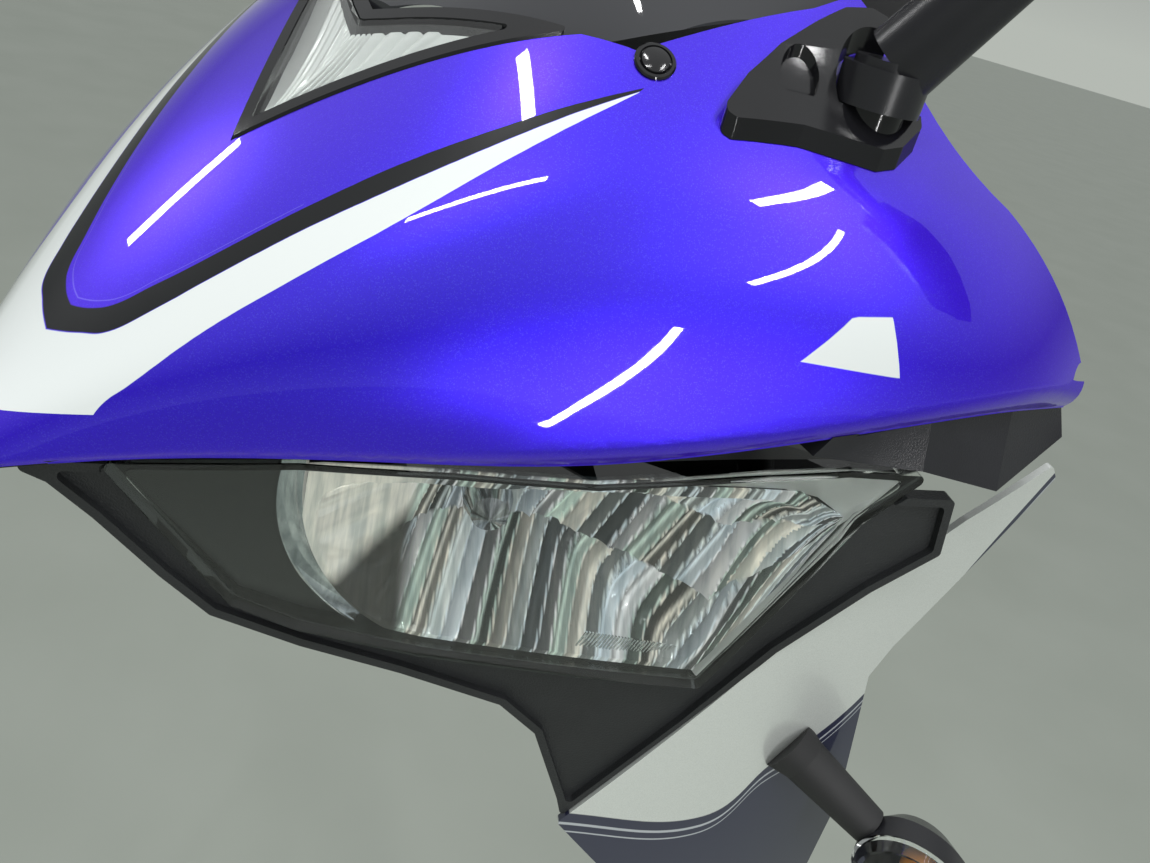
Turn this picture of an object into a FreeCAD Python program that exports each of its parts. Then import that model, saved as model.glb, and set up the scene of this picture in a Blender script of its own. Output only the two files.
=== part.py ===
import FreeCAD, Part
import math
import os

# Front fairing of a sport bike, with twin headlamps, screen, mirrors and turn signals on its tubular stay.
# Shapes are drawn from the nose tip: X to the rider's left, Y rearwards, Z up, in millimetres.
# Every sub-part is then placed so that the stay's headstock bolts are at the origin.

V = FreeCAD.Vector
UP = V(0, 0, 1)
doc = FreeCAD.newDocument("front_fairing")

# Driving dimensions: alias, value, what it is
SIZES = (
    ("nose_reach", 400.0, "nose tip in front of the headstock face"),
    ("nose_rise", 20.0, "nose tip above the middle of the headstock bolts"),
    ("cowl_length", 290.0, "nose cowl, nose tip to rear edge"),
    ("cowl_half_width", 216.0, "nose cowl, middle to its widest edge"),
    ("cowl_height", 225.0, "nose cowl, lower edge at the nose to the crown at the rear"),
    ("cowl_wall", 3.0, "wall of the nose cowl"),
    ("cowl_rake", 19.0, "lean of the cowl's rear edge, degrees"),
    ("shoulder_soft", 26.0, "rounding of the cowl's shoulder, along each face"),
    ("lip_rise", 11.0, "height of the curl at the cowl's lower edge"),
    ("lip_out", 4.0, "how far the lower edge curls in"),
    ("seat_gap", 0.3, "gap between a piece and the curved skin it sits on"),
    ("screen_wall", 3.0, "wall of the windscreen"),
    ("screen_start", 0.488, "windscreen's front point, as a share of the cowl's length"),
    ("screen_share", 0.71, "windscreen, front point to rear edge, as a share of the cowl's length"),
    ("pos_wall", 3.0, "wall of the position lamp's body"),
    ("pos_lens_wall", 2.5, "wall of the position lamp's lens"),
    ("pos_lamp_depth", 26.0, "depth of the position lamp's body under the crown"),
    ("pos_rim", 4.0, "black rim round the position lamp"),
    ("lamp_angle", 49.8, "headlamp's face, turned from straight across, degrees"),
    ("lamp_start", 48.0, "inner end of the headlamp along its face"),
    ("lamp_length", 260.0, "headlamp along its face"),
    ("lamp_drop", 55.0, "lowest corner of the headlamp below the nose tip"),
    ("lamp_height", 96.0, "headlamp, lowest to highest corner"),
    ("lamp_bulge", 8.0, "bulge of the lens over half its length"),
    ("lens_wall", 3.0, "wall of the headlamp's lens"),
    ("lens_skirt", 14.0, "how deep the lens's skirt goes"),
    ("lamp_depth", 84.0, "depth of the headlamp's housing"),
    ("housing_wall", 2.5, "wall of the headlamp's housing"),
    ("lamp_fit", 0.5, "gap round the lens"),
    ("lamp_clear", 0.8, "gap between the reflector and the lens"),
    ("bowl_short", 12.0, "reflector's back in front of the housing's back"),
    ("reflector_wall", 1.5, "wall of the headlamp's reflector"),
    ("flute_step", 1.2, "step between the flutes of the reflector"),
    ("mask_front", 12.0, "black mask behind the lamp's face"),
    ("mask_wall", 1.5, "thickness of the black mask"),
    ("lug_radius", 6.0, "lug from the housing to the stay"),
    ("bulb_radius", 9.0, "shield of the headlamp's bulb"),
    ("trim_wall", 3.0, "wall of the black trim under the headlamp"),
    ("trim_depth", 9.5, "trim's face behind the lamp's face"),
    ("trim_lip", 3.0, "height of the lip on the trim's edge"),
    ("side_wall", 3.0, "wall of the side cowl"),
    ("side_depth", 5.0, "side cowl's face behind the lamp's face"),
    ("side_radius", 408.0, "radius of the side cowl, seen from above"),
    ("boss_across", 0.5926, "mirror pivot from the middle, as a share of the cowl's half width"),
    ("boss_along", 0.8138, "mirror pivot behind the nose tip, as a share of the cowl's length"),
    ("boss_rise", 0.6356, "mirror's pivot seat above the nose tip, as a share of the cowl's height"),
    ("hub_radius", 14.0, "hub of the mirror arm"),
    ("hub_height", 12.0, "height of the mirror arm's hub"),
    ("pin_radius", 6.0, "pivot pin of the mirror arm"),
    ("pin_fit", 0.05, "radial gap round the pivot pin"),
    ("cap_radius", 11.0, "cap over the pivot"),
    ("cap_height", 2.5, "thickness of the cap over the pivot"),
    ("arm_out", 122.0, "mirror arm, pivot to ball, across"),
    ("seat_depth", 30.0, "mirror's seat, pivot down to the stay's pad"),
    ("seat_hole", 12.0, "hole in the cowl for the mirror's seat"),
    ("neck_radius", 10.0, "neck of the mirror's seat, through the cowl"),
    ("hub_clear", 1.5, "running gap round the mirror arm's hub"),
    ("swing_radius", 44.0, "room over the mirror's foot for the folding arm, at its top"),
    ("swing_height", 32.0, "height of the room over the mirror's foot"),
    ("swing_sector", 170.0, "sector of the room over the mirror's foot, degrees"),
    ("swing_lead", 45.0, "start of that sector before the arm's place at rest, degrees"),
    ("foot_rise", 6.0, "mirror's foot above the cowl's skin"),
    ("foot_reach", 62.0, "mirror's foot, front tip to pivot"),
    ("foot_screw", 6.5, "recess for the foot's screw"),
    ("arm_back", 16.0, "mirror arm, pivot to ball, along the bike"),
    ("arm_up", 100.0, "mirror arm, pivot seat to ball, upwards"),
    ("arm_radius", 13.0, "mirror arm at its root"),
    ("knee_out", 36.0, "bend of the mirror arm, out from the pivot"),
    ("knee_up", 66.0, "bend of the mirror arm, above the pivot's seat"),
    ("ball_radius", 9.0, "ball at the end of the mirror arm"),
    ("mirror_width", 172.0, "mirror head, across"),
    ("mirror_height", 98.0, "mirror head, upright"),
    ("mirror_depth", 40.0, "mirror head, along the bike"),
    ("mirror_wall", 3.0, "wall of the mirror head"),
    ("mirror_corner", 12.0, "rounding of the mirror head's corners"),
    ("mirror_waist", 4.0, "mirror head, drawn in at half its depth"),
    ("mirror_nose", 20.0, "mirror head, drawn in at its front"),
    ("glass_edge", 4.5, "mirror glass, inside the head's outline"),
    ("mirror_mouth", 18.0, "mouth of the mirror head behind its ball"),
    ("socket_radius", 9.5, "socket in the mirror head, at the ball"),
    ("slot_radius", 19.0, "opening in the mirror head for its arm"),
    ("glass_wall", 2.5, "thickness of the mirror glass"),
    ("stalk_radius", 9.0, "stalk of the turn signal"),
    ("stalk_length", 40.0, "turn signal, cowl to housing"),
    ("signal_length", 52.0, "turn signal's housing"),
    ("signal_radius", 19.0, "turn signal's housing at its lens"),
    ("signal_wall", 2.0, "wall of the turn signal's housing"),
    ("signal_dome", 10.0, "turn signal's lens, seat to front"),
    ("signal_drop", 25.0, "fall of the turn signal's stalk, degrees"),
    ("signal_sweep", 17.5, "backward sweep of the turn signal's stalk, degrees"),
    ("signal_depth", 24.0, "turn signal's housing, lens seat to back"),
    ("signal_bulb", 6.5, "radius of the turn signal's bulb"),
    ("bulb_length", 34.0, "headlamp's bulb and shield, foot to tip"),
    ("tube_radius", 8.0, "tubes of the stay"),
    ("post_height", 54.0, "post under the instrument"),
    ("cross_gap", 62.0, "stay's lower cross tube behind the lamp housings"),
    ("plate_width", 60.0, "headstock plate across"),
    ("plate_height", 96.0, "headstock plate upright"),
    ("plate_wall", 6.0, "headstock plate's thickness"),
    ("bolt_spacing", 56.0, "headstock bolts, hole to hole"),
    ("bolt_radius", 4.25, "headstock bolt holes"),
    ("meter_width", 168.0, "instrument across"),
    ("meter_height", 84.0, "instrument from front to rear edge"),
    ("meter_depth", 32.0, "instrument's thickness"),
    ("meter_round", 6.0, "rounding of the instrument's corners"),
    ("meter_tilt", 38.0, "instrument's lean, degrees"),
)
sheet = doc.addObject("Spreadsheet::Sheet", "sizes")
for row, (alias, value, note) in enumerate(SIZES, start=1):
    sheet.set(f"A{row}", note)
    sheet.set(f"B{row}", str(value))
    sheet.setAlias(f"B{row}", alias)
doc.recompute()


def size(alias):
    return sheet.get(alias)


def feature(name, shape):
    """A sub-part whose shape is worked out from the sheet."""
    item = doc.addObject("Part::Feature", name)
    item.Label = name
    item.Shape = shape
    place(item)
    return item


def place(item):
    """Moves a sub-part from the nose tip's frame to the headstock's."""
    item.setExpression("Placement.Base.y", "-sizes.nose_reach")
    item.setExpression("Placement.Base.z", "sizes.nose_rise")


def mirrored(item, name):
    """The right-hand twin of a left-hand sub-part."""
    twin = doc.addObject("Part::Mirroring", name)
    twin.Label = name
    twin.Source = item
    twin.Normal = V(1, 0, 0)
    return twin


def prism(corners, run):
    """A solid from a flat outline pushed along run."""
    return Part.Face(Part.makePolygon(corners + corners[:1])).extrude(run)


def rod(start, end, radius):
    return Part.makeCylinder(radius, (end - start).Length, start, end - start)


# Nose cowl: sections across the bike, as shares of the cowl's length, height and half width.
# Each section is a crown arc, a soft shoulder, a bulging flank and a lip that curls in at the lower edge.
# soft and lip are the lengths of the shoulder's and the lip's roundings, as shares of the driving sizes.
COWL_SECTIONS = (
    # along, crown_z, shoulder_x, shoulder_z, edge_x, edge_z, bulge, soft, lip
    (0.014, 0.027, 0.018, 0.017, 0.030, 0.004, 0.3, 0.06, 0.08),
    (0.062, 0.076, 0.064, 0.068, 0.080, 0.024, 0.8, 0.15, 0.20),
    (0.138, 0.164, 0.139, 0.151, 0.160, 0.053, 2.0, 0.35, 0.45),
    (0.310, 0.391, 0.255, 0.356, 0.360, 0.102, 6.0, 0.80, 0.80),
    (0.517, 0.627, 0.370, 0.542, 0.560, 0.133, 9.0, 1.00, 1.00),
    (0.731, 0.822, 0.546, 0.587, 0.812, 0.249, 9.0, 1.00, 1.00),
    (0.880, 0.922, 0.652, 0.592, 0.930, 0.300, 9.0, 1.00, 1.00),
    (1.034, 1.000, 0.750, 0.578, 0.990, 0.300, 7.0, 1.00, 1.00),
)


def cowl_section(columns, grow, skirt):
    """One section, grown outwards by grow, with its lower edge taken straight down by skirt."""
    along, crown_z, shoulder_x, shoulder_z, edge_x, edge_z, bulge, soft, lip = columns
    half = size("cowl_half_width")
    tall = size("cowl_height")
    y = along * size("cowl_length") - (grow if along < 0.1 else 0)
    crown = V(0, y, crown_z * tall + grow)
    shoulder = V(shoulder_x * half + 0.55 * grow, y, shoulder_z * tall + 0.83 * grow)
    edge = V(edge_x * half + grow, y, edge_z * tall)
    flank_end = edge + V(lip * size("lip_out"), 0, lip * size("lip_rise") + 0.35 * grow)
    lip_middle = edge + V(0.72 * lip * size("lip_out"), 0, 0.38 * lip * size("lip_rise"))
    out = V(shoulder.z - flank_end.z, 0, flank_end.x - shoulder.x).normalize()
    crown_arc = Part.Arc(V(-shoulder.x, y, shoulder.z), crown, shoulder)
    flank_arc = Part.Arc(shoulder, (shoulder + flank_end) * 0.5 + out * bulge, flank_end)
    rounding = soft * size("shoulder_soft")
    crown_end = crown_arc.value(crown_arc.parameterAtDistance(-rounding, crown_arc.LastParameter))
    flank_from = flank_arc.parameterAtDistance(rounding, flank_arc.FirstParameter)
    flank_start = flank_arc.value(flank_from)
    middle = flank_arc.value((flank_from + flank_arc.LastParameter) / 2)
    corner = (crown_end + shoulder * 2 + flank_start) * 0.25
    foot = edge - UP * skirt
    half_line = [crown_end, corner, flank_start, middle, flank_end, lip_middle, edge, foot]
    flip = [V(-p.x, p.y, p.z) for p in half_line]
    edges = [
        Part.Arc(flip[0], crown, half_line[0]).toShape(),
        Part.Arc(*half_line[0:3]).toShape(),
        Part.Arc(*half_line[2:5]).toShape(),
        Part.Arc(*half_line[4:7]).toShape(),
        Part.LineSegment(edge, foot).toShape(),
        Part.LineSegment(foot, flip[7]).toShape(),
        Part.LineSegment(flip[7], flip[6]).toShape(),
        Part.Arc(flip[6], flip[5], flip[4]).toShape(),
        Part.Arc(flip[4], flip[3], flip[2]).toShape(),
        Part.Arc(flip[2], flip[1], flip[0]).toShape(),
    ]
    return Part.Wire(edges)


def cowl_solid(grow, skirt):
    """The filled form of the nose cowl, its skin moved outwards by grow.

    Moved inwards, it starts behind the tip.
    """
    sections = [columns for columns in COWL_SECTIONS if columns[2] * size("cowl_half_width") > -2 * grow]
    return Part.makeLoft([cowl_section(columns, grow, skirt) for columns in sections], True, False)


# Crown opening, in the top view: corners as shares of the cowl's half width and length
CROWN_OPENING = (
    # across, along
    (0.000, 0.320),
    (0.282, 0.580),
    (0.350, 0.614),
    (0.450, 0.810),
    (0.540, 1.100),
)


def top_view(corners):
    """Corners of the right half and their mirror images, as one outline at the height of the nose tip."""
    half = size("cowl_half_width")
    length = size("cowl_length")
    left = [V(across * half, along * length, 0) for across, along in corners]
    right = [V(-p.x, p.y, 0) for p in reversed(left) if p.x > 0]
    return left + right


def rear_cutter():
    """All that lies behind the cowl's leaning rear edge."""
    deep = size("cowl_length")
    block = Part.makeBox(4 * deep, deep, 4 * deep, V(-2 * deep, 0, -2 * deep))
    block.rotate(V(0, 0, 0), V(1, 0, 0), size("cowl_rake"))
    block.translate(V(0, deep, 0.28 * size("cowl_height")))
    return block


skin = cowl_solid(0, 0.5)
core = cowl_solid(-size("cowl_wall"), size("cowl_height"))
reach = 2 * size("cowl_height")
crown_hole = prism(top_view(CROWN_OPENING), UP * reach)
boss_x = size("boss_across") * size("cowl_half_width")
boss_y = size("boss_along") * size("cowl_length")
boss = V(boss_x, boss_y, size("boss_rise") * size("cowl_height"))
seat_foot = boss - UP * size("seat_depth")
arm_room = rod(boss, boss + UP * reach, size("hub_radius") + size("hub_clear"))
seat_room = rod(seat_foot, boss + UP * reach, size("seat_hole")).fuse(arm_room)
seat_rooms = [seat_room, seat_room.mirror(V(0, 0, 0), V(1, 0, 0))]
feature("nose_cowl", skin.cut([core, crown_hole, rear_cutter()] + seat_rooms))

# Position lamp in the crown's front corner, with the screen's lower edge behind it
POSITION_LAMP = (
    # across, along
    (0.000, 0.320),
    (0.282, 0.580),
    (0.148, 0.531),
    (0.033, 0.490),
    (0.000, 0.480),
)


def inset_face(points, inset, corner=1.0):
    """A flat outline drawn in by inset, with round corners."""
    face = Part.Face(Part.makePolygon(points + points[:1]))
    smaller = face.makeOffset2D(-(inset + corner))
    return smaller.makeOffset2D(corner)


def crown_piece(inset, top, bottom):
    """The crown between two depths inside the lamp's plan, drawn in by inset."""
    column = inset_face(top_view(POSITION_LAMP), inset).extrude(UP * reach)
    return column.common(cowl_solid(top, 0.5)).cut(cowl_solid(bottom, size("cowl_height")))


rim = size("pos_rim")
gap = size("seat_gap")
lamp_floor = -size("pos_lamp_depth")
lamp_wall = size("pos_wall")
cup = crown_piece(gap, 1.0, lamp_floor)
position_body = cup.cut(crown_piece(rim, 3.0, lamp_floor + lamp_wall))
tray = crown_piece(rim + gap, -4.0, lamp_floor + lamp_wall + gap)
position_reflector = tray.cut(crown_piece(rim + gap + lamp_wall / 2, -2.0, lamp_floor + 2 * lamp_wall))
feature("position_lamp_body", position_body)
feature("position_lamp_reflector", position_reflector)
feature("position_lamp_lens", crown_piece(rim + gap, 0.7, 0.7 - size("pos_lens_wall")))

# Windscreen: arcs across the bike from rim to rim, standing on the crown's opening
SCREEN_SECTIONS = (
    # along the screen, half_width of the cowl's, rim_z and top_z of the cowl's height
    (0.00, 0.040, 0.598, 0.604),
    (0.07, 0.150, 0.617, 0.655),
    (0.14, 0.275, 0.622, 0.706),
    (0.19, 0.335, 0.650, 0.751),
    (0.46, 0.435, 0.730, 0.980),
    (0.73, 0.488, 0.835, 1.160),
    (1.00, 0.470, 0.940, 1.300),
)


def screen_section(columns):
    """A thin bow across the bike: outer arc, rim, inner arc, rim."""
    along, half_width, rim_z, top_z = columns
    y = (size("screen_start") + along * size("screen_share")) * size("cowl_length")
    x = half_width * size("cowl_half_width")
    rim_height = rim_z * size("cowl_height")
    thin = size("screen_wall")
    top = V(0, y, top_z * size("cowl_height"))
    left = V(x, y, rim_height)
    right = V(-x, y, rim_height)
    left_in = V(x - thin * 0.9, y, rim_height - thin * 0.1)
    right_in = V(-left_in.x, y, left_in.z)
    edges = [
        Part.Arc(right, top, left).toShape(),
        Part.LineSegment(left, left_in).toShape(),
        Part.Arc(left_in, top - UP * thin, right_in).toShape(),
        Part.LineSegment(right_in, right).toShape(),
    ]
    return Part.Wire(edges)


screen_bow = Part.makeLoft([screen_section(columns) for columns in SCREEN_SECTIONS], True, False)
screen_plan = CROWN_OPENING + ((CROWN_OPENING[-1][0], 1.4),)
screen_room = inset_face(top_view(screen_plan), gap).extrude(UP * reach)
lamp_room = inset_face(top_view(POSITION_LAMP), -gap).extrude(UP * reach)
feature("windscreen", screen_bow.common(screen_room).cut(lamp_room))

# Headlamp outline on its own flat face: shares of its length and height
LENS_OUTLINE = (
    # along, up
    (0.000, 0.625),
    (0.219, 0.750),
    (0.392, 0.802),
    (0.562, 0.833),
    (0.738, 0.927),
    (0.881, 0.990),
    (1.000, 1.000),
    (0.923, 0.781),
    (0.785, 0.000),
    (0.396, 0.050),
    (0.240, 0.100),
    (0.160, 0.165),
)
TRIM_OUTLINE = (
    # along, up
    (-0.100, 0.600),
    (-0.047, 0.543),
    (0.002, 0.433),
    (0.077, 0.238),
    (0.138, 0.100),
    (0.249, 0.005),
    (0.380, -0.075),
    (0.521, -0.183),
    (0.580, -0.310),
    (0.640, -0.640),
    (0.655, -0.745),
    (0.790, -0.210),
    (0.880, 0.185),
    (0.977, 0.505),
    (1.050, 0.700),
    (1.035, 0.930),
)
SIDE_OUTLINE = (
    # along, up
    (0.650, -0.760),
    (0.785, -0.215),
    (0.880, 0.175),
    (0.982, 0.495),
    (1.100, 0.790),
    (1.215, 1.020),
    (1.235, 0.960),
    (1.077, 0.190),
    (1.058, 0.040),
    (1.120, -0.700),
    (1.120, -1.300),
    (0.900, -1.300),
    (0.745, -1.020),
)


LAMP_MIDDLE = (0.56, 0.46)
BULB_MIDDLE = (0.47, 0.42)
front_room = 2.5 * size("lamp_bulge")
cut_depth = 1.25 * size("lamp_height")


def lamp_points(outline, depth, grow=1.0, middle=LAMP_MIDDLE):
    """Outline on the lamp's face, its corners pulled towards the middle where grow is under 1."""
    points = []
    for along, up in outline:
        near_along = middle[0] + (along - middle[0]) * grow
        near_up = middle[1] + (up - middle[1]) * grow
        x = size("lamp_start") + near_along * size("lamp_length")
        z = near_up * size("lamp_height") - size("lamp_drop")
        points.append(V(x, depth, z))
    return points


def lamp_prism(outline, front, back, inset=0.0, corner=2.0):
    return inset_face(lamp_points(outline, front), inset, corner).extrude(V(0, back - front, 0))


def lamp_bowl(outline, rings):
    """A bowl's form through rings of the outline; each ring is its depth, share and middle."""
    corners = [lamp_points(outline, *ring) for ring in rings]
    return Part.makeLoft([Part.makePolygon(points + points[:1]) for points in corners], True, True)


def to_bike(shape):
    """Turns a shape from the lamp's face to the bike."""
    turned = shape.copy()
    turned.rotate(V(0, 0, 0), UP, size("lamp_angle"))
    return turned


def bulge_ball(depth):
    """The ball whose front is the bulging face of the lamp, depth behind its middle."""
    half = size("lamp_length") / 2
    radius = half * half / (2 * size("lamp_bulge"))
    centre = V(size("lamp_start") + half, radius, 0.5 * size("lamp_height") - size("lamp_drop"))
    return Part.makeSphere(radius - depth, centre)


skirt = size("lens_skirt")
glass = size("lens_wall")
lens_body = lamp_prism(LENS_OUTLINE, -front_room, skirt, size("lamp_fit")).common(bulge_ball(0))
lens_inset = size("lamp_fit") + glass
lens_void = lamp_prism(LENS_OUTLINE, -front_room, skirt, lens_inset).common(bulge_ball(glass))
headlamp_lens = feature("headlamp_lens_left", to_bike(lens_body.cut(lens_void)))

# Headlamp housing: a bowl behind the lens, with two lugs on the stay's cross tube
shell_start = skirt + gap
shell_end = size("lamp_depth")
shell_wall = size("housing_wall")
shell_outer = lamp_bowl(LENS_OUTLINE, ((shell_start, 0.97), (shell_end, 0.50)))
shell_inner = lamp_bowl(LENS_OUTLINE, ((shell_start - 1, 0.92), (shell_end - shell_wall, 0.46)))
lamp_back = to_bike(Part.Vertex(lamp_points([LAMP_MIDDLE], shell_end)[0])).Point
cross_y = lamp_back.y + size("cross_gap")
lug_start = V(lamp_back.x + 6, lamp_back.y - 6, lamp_back.z)
tube = size("tube_radius")
tube_end = V(size("cowl_half_width"), cross_y, lamp_back.z)
tube_room = rod(V(0, cross_y, lamp_back.z), tube_end, tube + gap)
lug = rod(lug_start, V(lug_start.x, cross_y, lug_start.z), size("lug_radius"))
lug = lug.cut([tube_room, to_bike(shell_inner)])
housing_bowl = to_bike(shell_outer.cut(shell_inner))
headlamp_housing = feature("headlamp_housing_left", housing_bowl.fuse(lug))

# Reflector: a bright fluted bowl over the outer three quarters, and a black mask over the inner end
REFLECTOR_OUTLINE = (
    # along, up
    (0.235, 0.757),
    (0.392, 0.802),
    (0.562, 0.833),
    (0.738, 0.927),
    (0.881, 0.990),
    (1.000, 1.000),
    (0.923, 0.781),
    (0.785, 0.000),
    (0.396, 0.050),
    (0.300, 0.280),
    (0.245, 0.500),
)
MASK_OUTLINE = (
    # along, up
    (0.000, 0.625),
    (0.219, 0.750),
    (0.250, 0.745),
    (0.259, 0.497),
    (0.309, 0.290),
    (0.397, 0.075),
    (0.240, 0.100),
    (0.160, 0.165),
)
FLUTES = 9
lens_inner = lens_inset + size("lamp_clear")
bowl_room = lamp_prism(LENS_OUTLINE, 0, shell_end, lens_inner).common(bulge_ball(glass + size("lamp_clear")))
bowl_void_room = lamp_prism(LENS_OUTLINE, -front_room, shell_end, lens_inner + size("reflector_wall"))
bowl_back = shell_end - size("bowl_short")
void_back = bowl_back - size("reflector_wall")
bowl_outer = lamp_bowl(REFLECTOR_OUTLINE, ((0, 0.985), (shell_start, 0.905), (bowl_back, 0.44, BULB_MIDDLE)))
bowl_void = lamp_bowl(REFLECTOR_OUTLINE, ((-1, 0.960), (shell_start, 0.88), (void_back, 0.40, BULB_MIDDLE)))
flute_start = REFLECTOR_OUTLINE[0][0] * size("lamp_length") + size("lamp_start")
flute_width = (1 - REFLECTOR_OUTLINE[0][0]) * size("lamp_length") / FLUTES
flutes = []
for number in range(FLUTES):
    corner = V(flute_start + number * flute_width, -front_room, -size("lamp_height"))
    strip = Part.makeBox(flute_width, 2 * size("lamp_depth"), 2 * size("lamp_height"), corner)
    flute = bowl_void.copy()
    flute.translate(V(0, -size("flute_step") * (number % 2), 0))
    flutes.append(flute.common(strip))
bowl_hollow = flutes[0].fuse(flutes[1:]).common(bowl_void_room)
bright_bowl = bowl_outer.common(bowl_room).cut(bowl_hollow)
headlamp_reflector = feature("headlamp_reflector_left", to_bike(bright_bowl))
mask_front = size("mask_front")
mask_plate = lamp_prism(MASK_OUTLINE, mask_front, mask_front + size("mask_wall"), 0.0, 1.0)
headlamp_mask = feature("headlamp_mask_left", to_bike(mask_plate.common(bowl_room)))

# Black trim round the lower side of the headlamp, with a lip on its outer edge
trim_front = size("trim_depth")
trim_back = trim_front + size("trim_wall")
lens_hole = lamp_prism(LENS_OUTLINE, -front_room, cut_depth)
plate = lamp_prism(TRIM_OUTLINE, trim_front, trim_back)
lip = lamp_prism(TRIM_OUTLINE, trim_front - size("trim_lip"), trim_back)
lip_void = lamp_prism(TRIM_OUTLINE, trim_front - size("trim_lip"), trim_back, size("trim_wall"))
side_room = lamp_prism(SIDE_OUTLINE, -front_room, cut_depth, -gap)
trim_body = to_bike(plate.fuse(lip.cut(lip_void)).cut([lens_hole, side_room]))
lower_trim = feature("lower_trim_left", trim_body.cut(cowl_solid(gap, 0.5 + gap)))

# Side cowl: an upright bow seen from above, cut to its spear-like outline
side_front = size("side_depth")
BOW_SHARE = 0.7
bow_tall = 6 * size("lamp_height")
bow_x = size("lamp_start") + BOW_SHARE * size("lamp_length")
bow_axis = V(bow_x, side_front + size("side_radius"), -bow_tall / 2)
bow = Part.makeCylinder(size("side_radius"), bow_tall, bow_axis)
bow_core = Part.makeCylinder(size("side_radius") - size("side_wall"), bow_tall, bow_axis)
side_plate = lamp_prism(SIDE_OUTLINE, -front_room, cut_depth).common(bow).cut(bow_core)
side_cowl = feature("side_cowl_left", to_bike(side_plate))

# Winglet: a black blade from the headlamp's top edge back to the cowl's widest corner
WINGLET_SECTIONS = (
    # front, back and top edges as x, y, z
    ((165.0, 201.0, 44.0), (154.0, 206.0, 44.0), (169.0, 203.0, 54.0)),
    ((191.0, 227.0, 46.0), (172.0, 236.0, 47.0), (187.0, 228.0, 62.0)),
    ((208.0, 256.0, 40.0), (188.0, 268.0, 47.0), (200.0, 262.0, 66.0)),
    ((213.0, 289.0, 56.0), (200.0, 294.0, 54.0), (208.0, 291.0, 65.0)),
)


def winglet_section(corners):
    points = [V(*corner) for corner in corners]
    return Part.makePolygon(points + points[:1])


blade = Part.makeLoft([winglet_section(corners) for corners in WINGLET_SECTIONS], True, True)
winglet = feature("winglet_left", blade.cut(cowl_solid(gap, 0.5 + gap)))

# Mirror base: a pointed foot that follows the cowl's skin, with the pivot's neck and pin through it
FOOT_OUTLINE = (
    # across and along from the pivot, as shares of the foot's reach
    (-0.37, -0.80),
    (-0.41, -0.60),
    (-0.41, -0.39),
    (-0.38, -0.15),
    (-0.35, 0.03),
    (-0.28, 0.18),
    (-0.17, 0.29),
    (0.06, 0.29),
    (0.21, 0.17),
    (0.23, -0.02),
    (0.19, -0.14),
    (-0.10, -0.47),
    (-0.30, -0.76),
)
hub = size("hub_radius")
foot_reach = size("foot_reach")
foot_points = []
for across, along in FOOT_OUTLINE:
    foot_points.append(V(boss.x + across * foot_reach, boss.y + along * foot_reach, 0))
foot_column = inset_face(foot_points, 0.0, 2.0).extrude(UP * reach)
foot = foot_column.common(cowl_solid(size("foot_rise"), 0.5)).cut(cowl_solid(gap, size("cowl_height")))
neck = rod(seat_foot, boss, size("neck_radius"))
pin = rod(boss - UP, boss + UP * size("hub_height"), size("pin_radius"))
screw_seat = boss + V(-0.27 * foot_reach, -0.36 * foot_reach, 0)
screw_room = rod(screw_seat, screw_seat + UP * reach, size("foot_screw"))
screw_floor = cowl_solid(size("foot_rise") / 2, 0.5)
swing_radii = (hub + size("hub_clear"), size("swing_radius"))
swing_room = Part.makeCone(*swing_radii, size("swing_height"), boss, UP, size("swing_sector"))
swing_room.rotate(boss, UP, -size("swing_lead"))
foot = foot.cut([arm_room, swing_room, screw_room.cut(screw_floor)])
mirror_base = feature("mirror_base_left", foot.fuse([neck, pin]))

# Mirror arm: hub on the pin, steep root, bend and ball
ball = boss + V(size("arm_out"), size("arm_back"), size("arm_up"))
knee = boss + V(size("knee_out"), 0.3 * size("arm_back"), size("knee_up"))
lift = UP * gap
root = boss + UP * size("hub_height") * 0.85


def oval(centre, run, wide, tall):
    """An ellipse across run, its longer axis level."""
    level = run.cross(UP).normalize()
    rise = level.cross(run).normalize()
    long_axis, short_axis = (level * wide, rise * tall) if wide > tall else (rise * tall, level * wide)
    ring = Part.Ellipse(centre + long_axis, centre + short_axis, centre)
    return Part.Wire([ring.toShape()])


arm_size = size("arm_radius")
ARM_RINGS = (
    # place, direction, level half width and upright half width, as shares of the arm's radius
    (root + (knee - root) * 0.08, knee - root, 0.75, 1.00),
    (knee, ball - root, 0.60, 0.85),
    (ball - (ball - knee) * 0.04, ball - knee, 0.46, 0.50),
)
arm_rings = [oval(centre, run, arm_size * wide, arm_size * tall) for centre, run, wide, tall in ARM_RINGS]
bar = Part.makeLoft(arm_rings, True, True)
hub_body = Part.makeCylinder(hub, size("hub_height"), boss + lift)
cap = Part.makeCylinder(size("cap_radius"), size("cap_height"), boss + lift + UP * size("hub_height"))
bore = Part.makeCylinder(size("pin_radius") + size("pin_fit"), size("hub_height") + gap + 1, boss - UP)
arm_body = hub_body.fuse([bar, cap, Part.makeSphere(size("ball_radius"), ball)]).cut(bore)
mirror_arm = feature("mirror_arm_left", arm_body)

# Mirror head: a rounded shell round the ball, open to the rear, with the glass in its mouth
MIRROR_OUTLINE = (
    # across from the ball, up from the ball, as shares of the head's width and height
    (-0.22, -0.30),
    (-0.10, -0.47),
    (0.30, -0.50),
    (0.62, -0.38),
    (0.78, -0.05),
    (0.74, 0.30),
    (0.50, 0.50),
    (0.05, 0.46),
    (-0.20, 0.20),
)


def mirror_face(y, inset):
    points = []
    for across, up in MIRROR_OUTLINE:
        points.append(V(ball.x + across * size("mirror_width"), y, ball.z + up * size("mirror_height")))
    return inset_face(points, inset, size("mirror_corner"))


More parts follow.
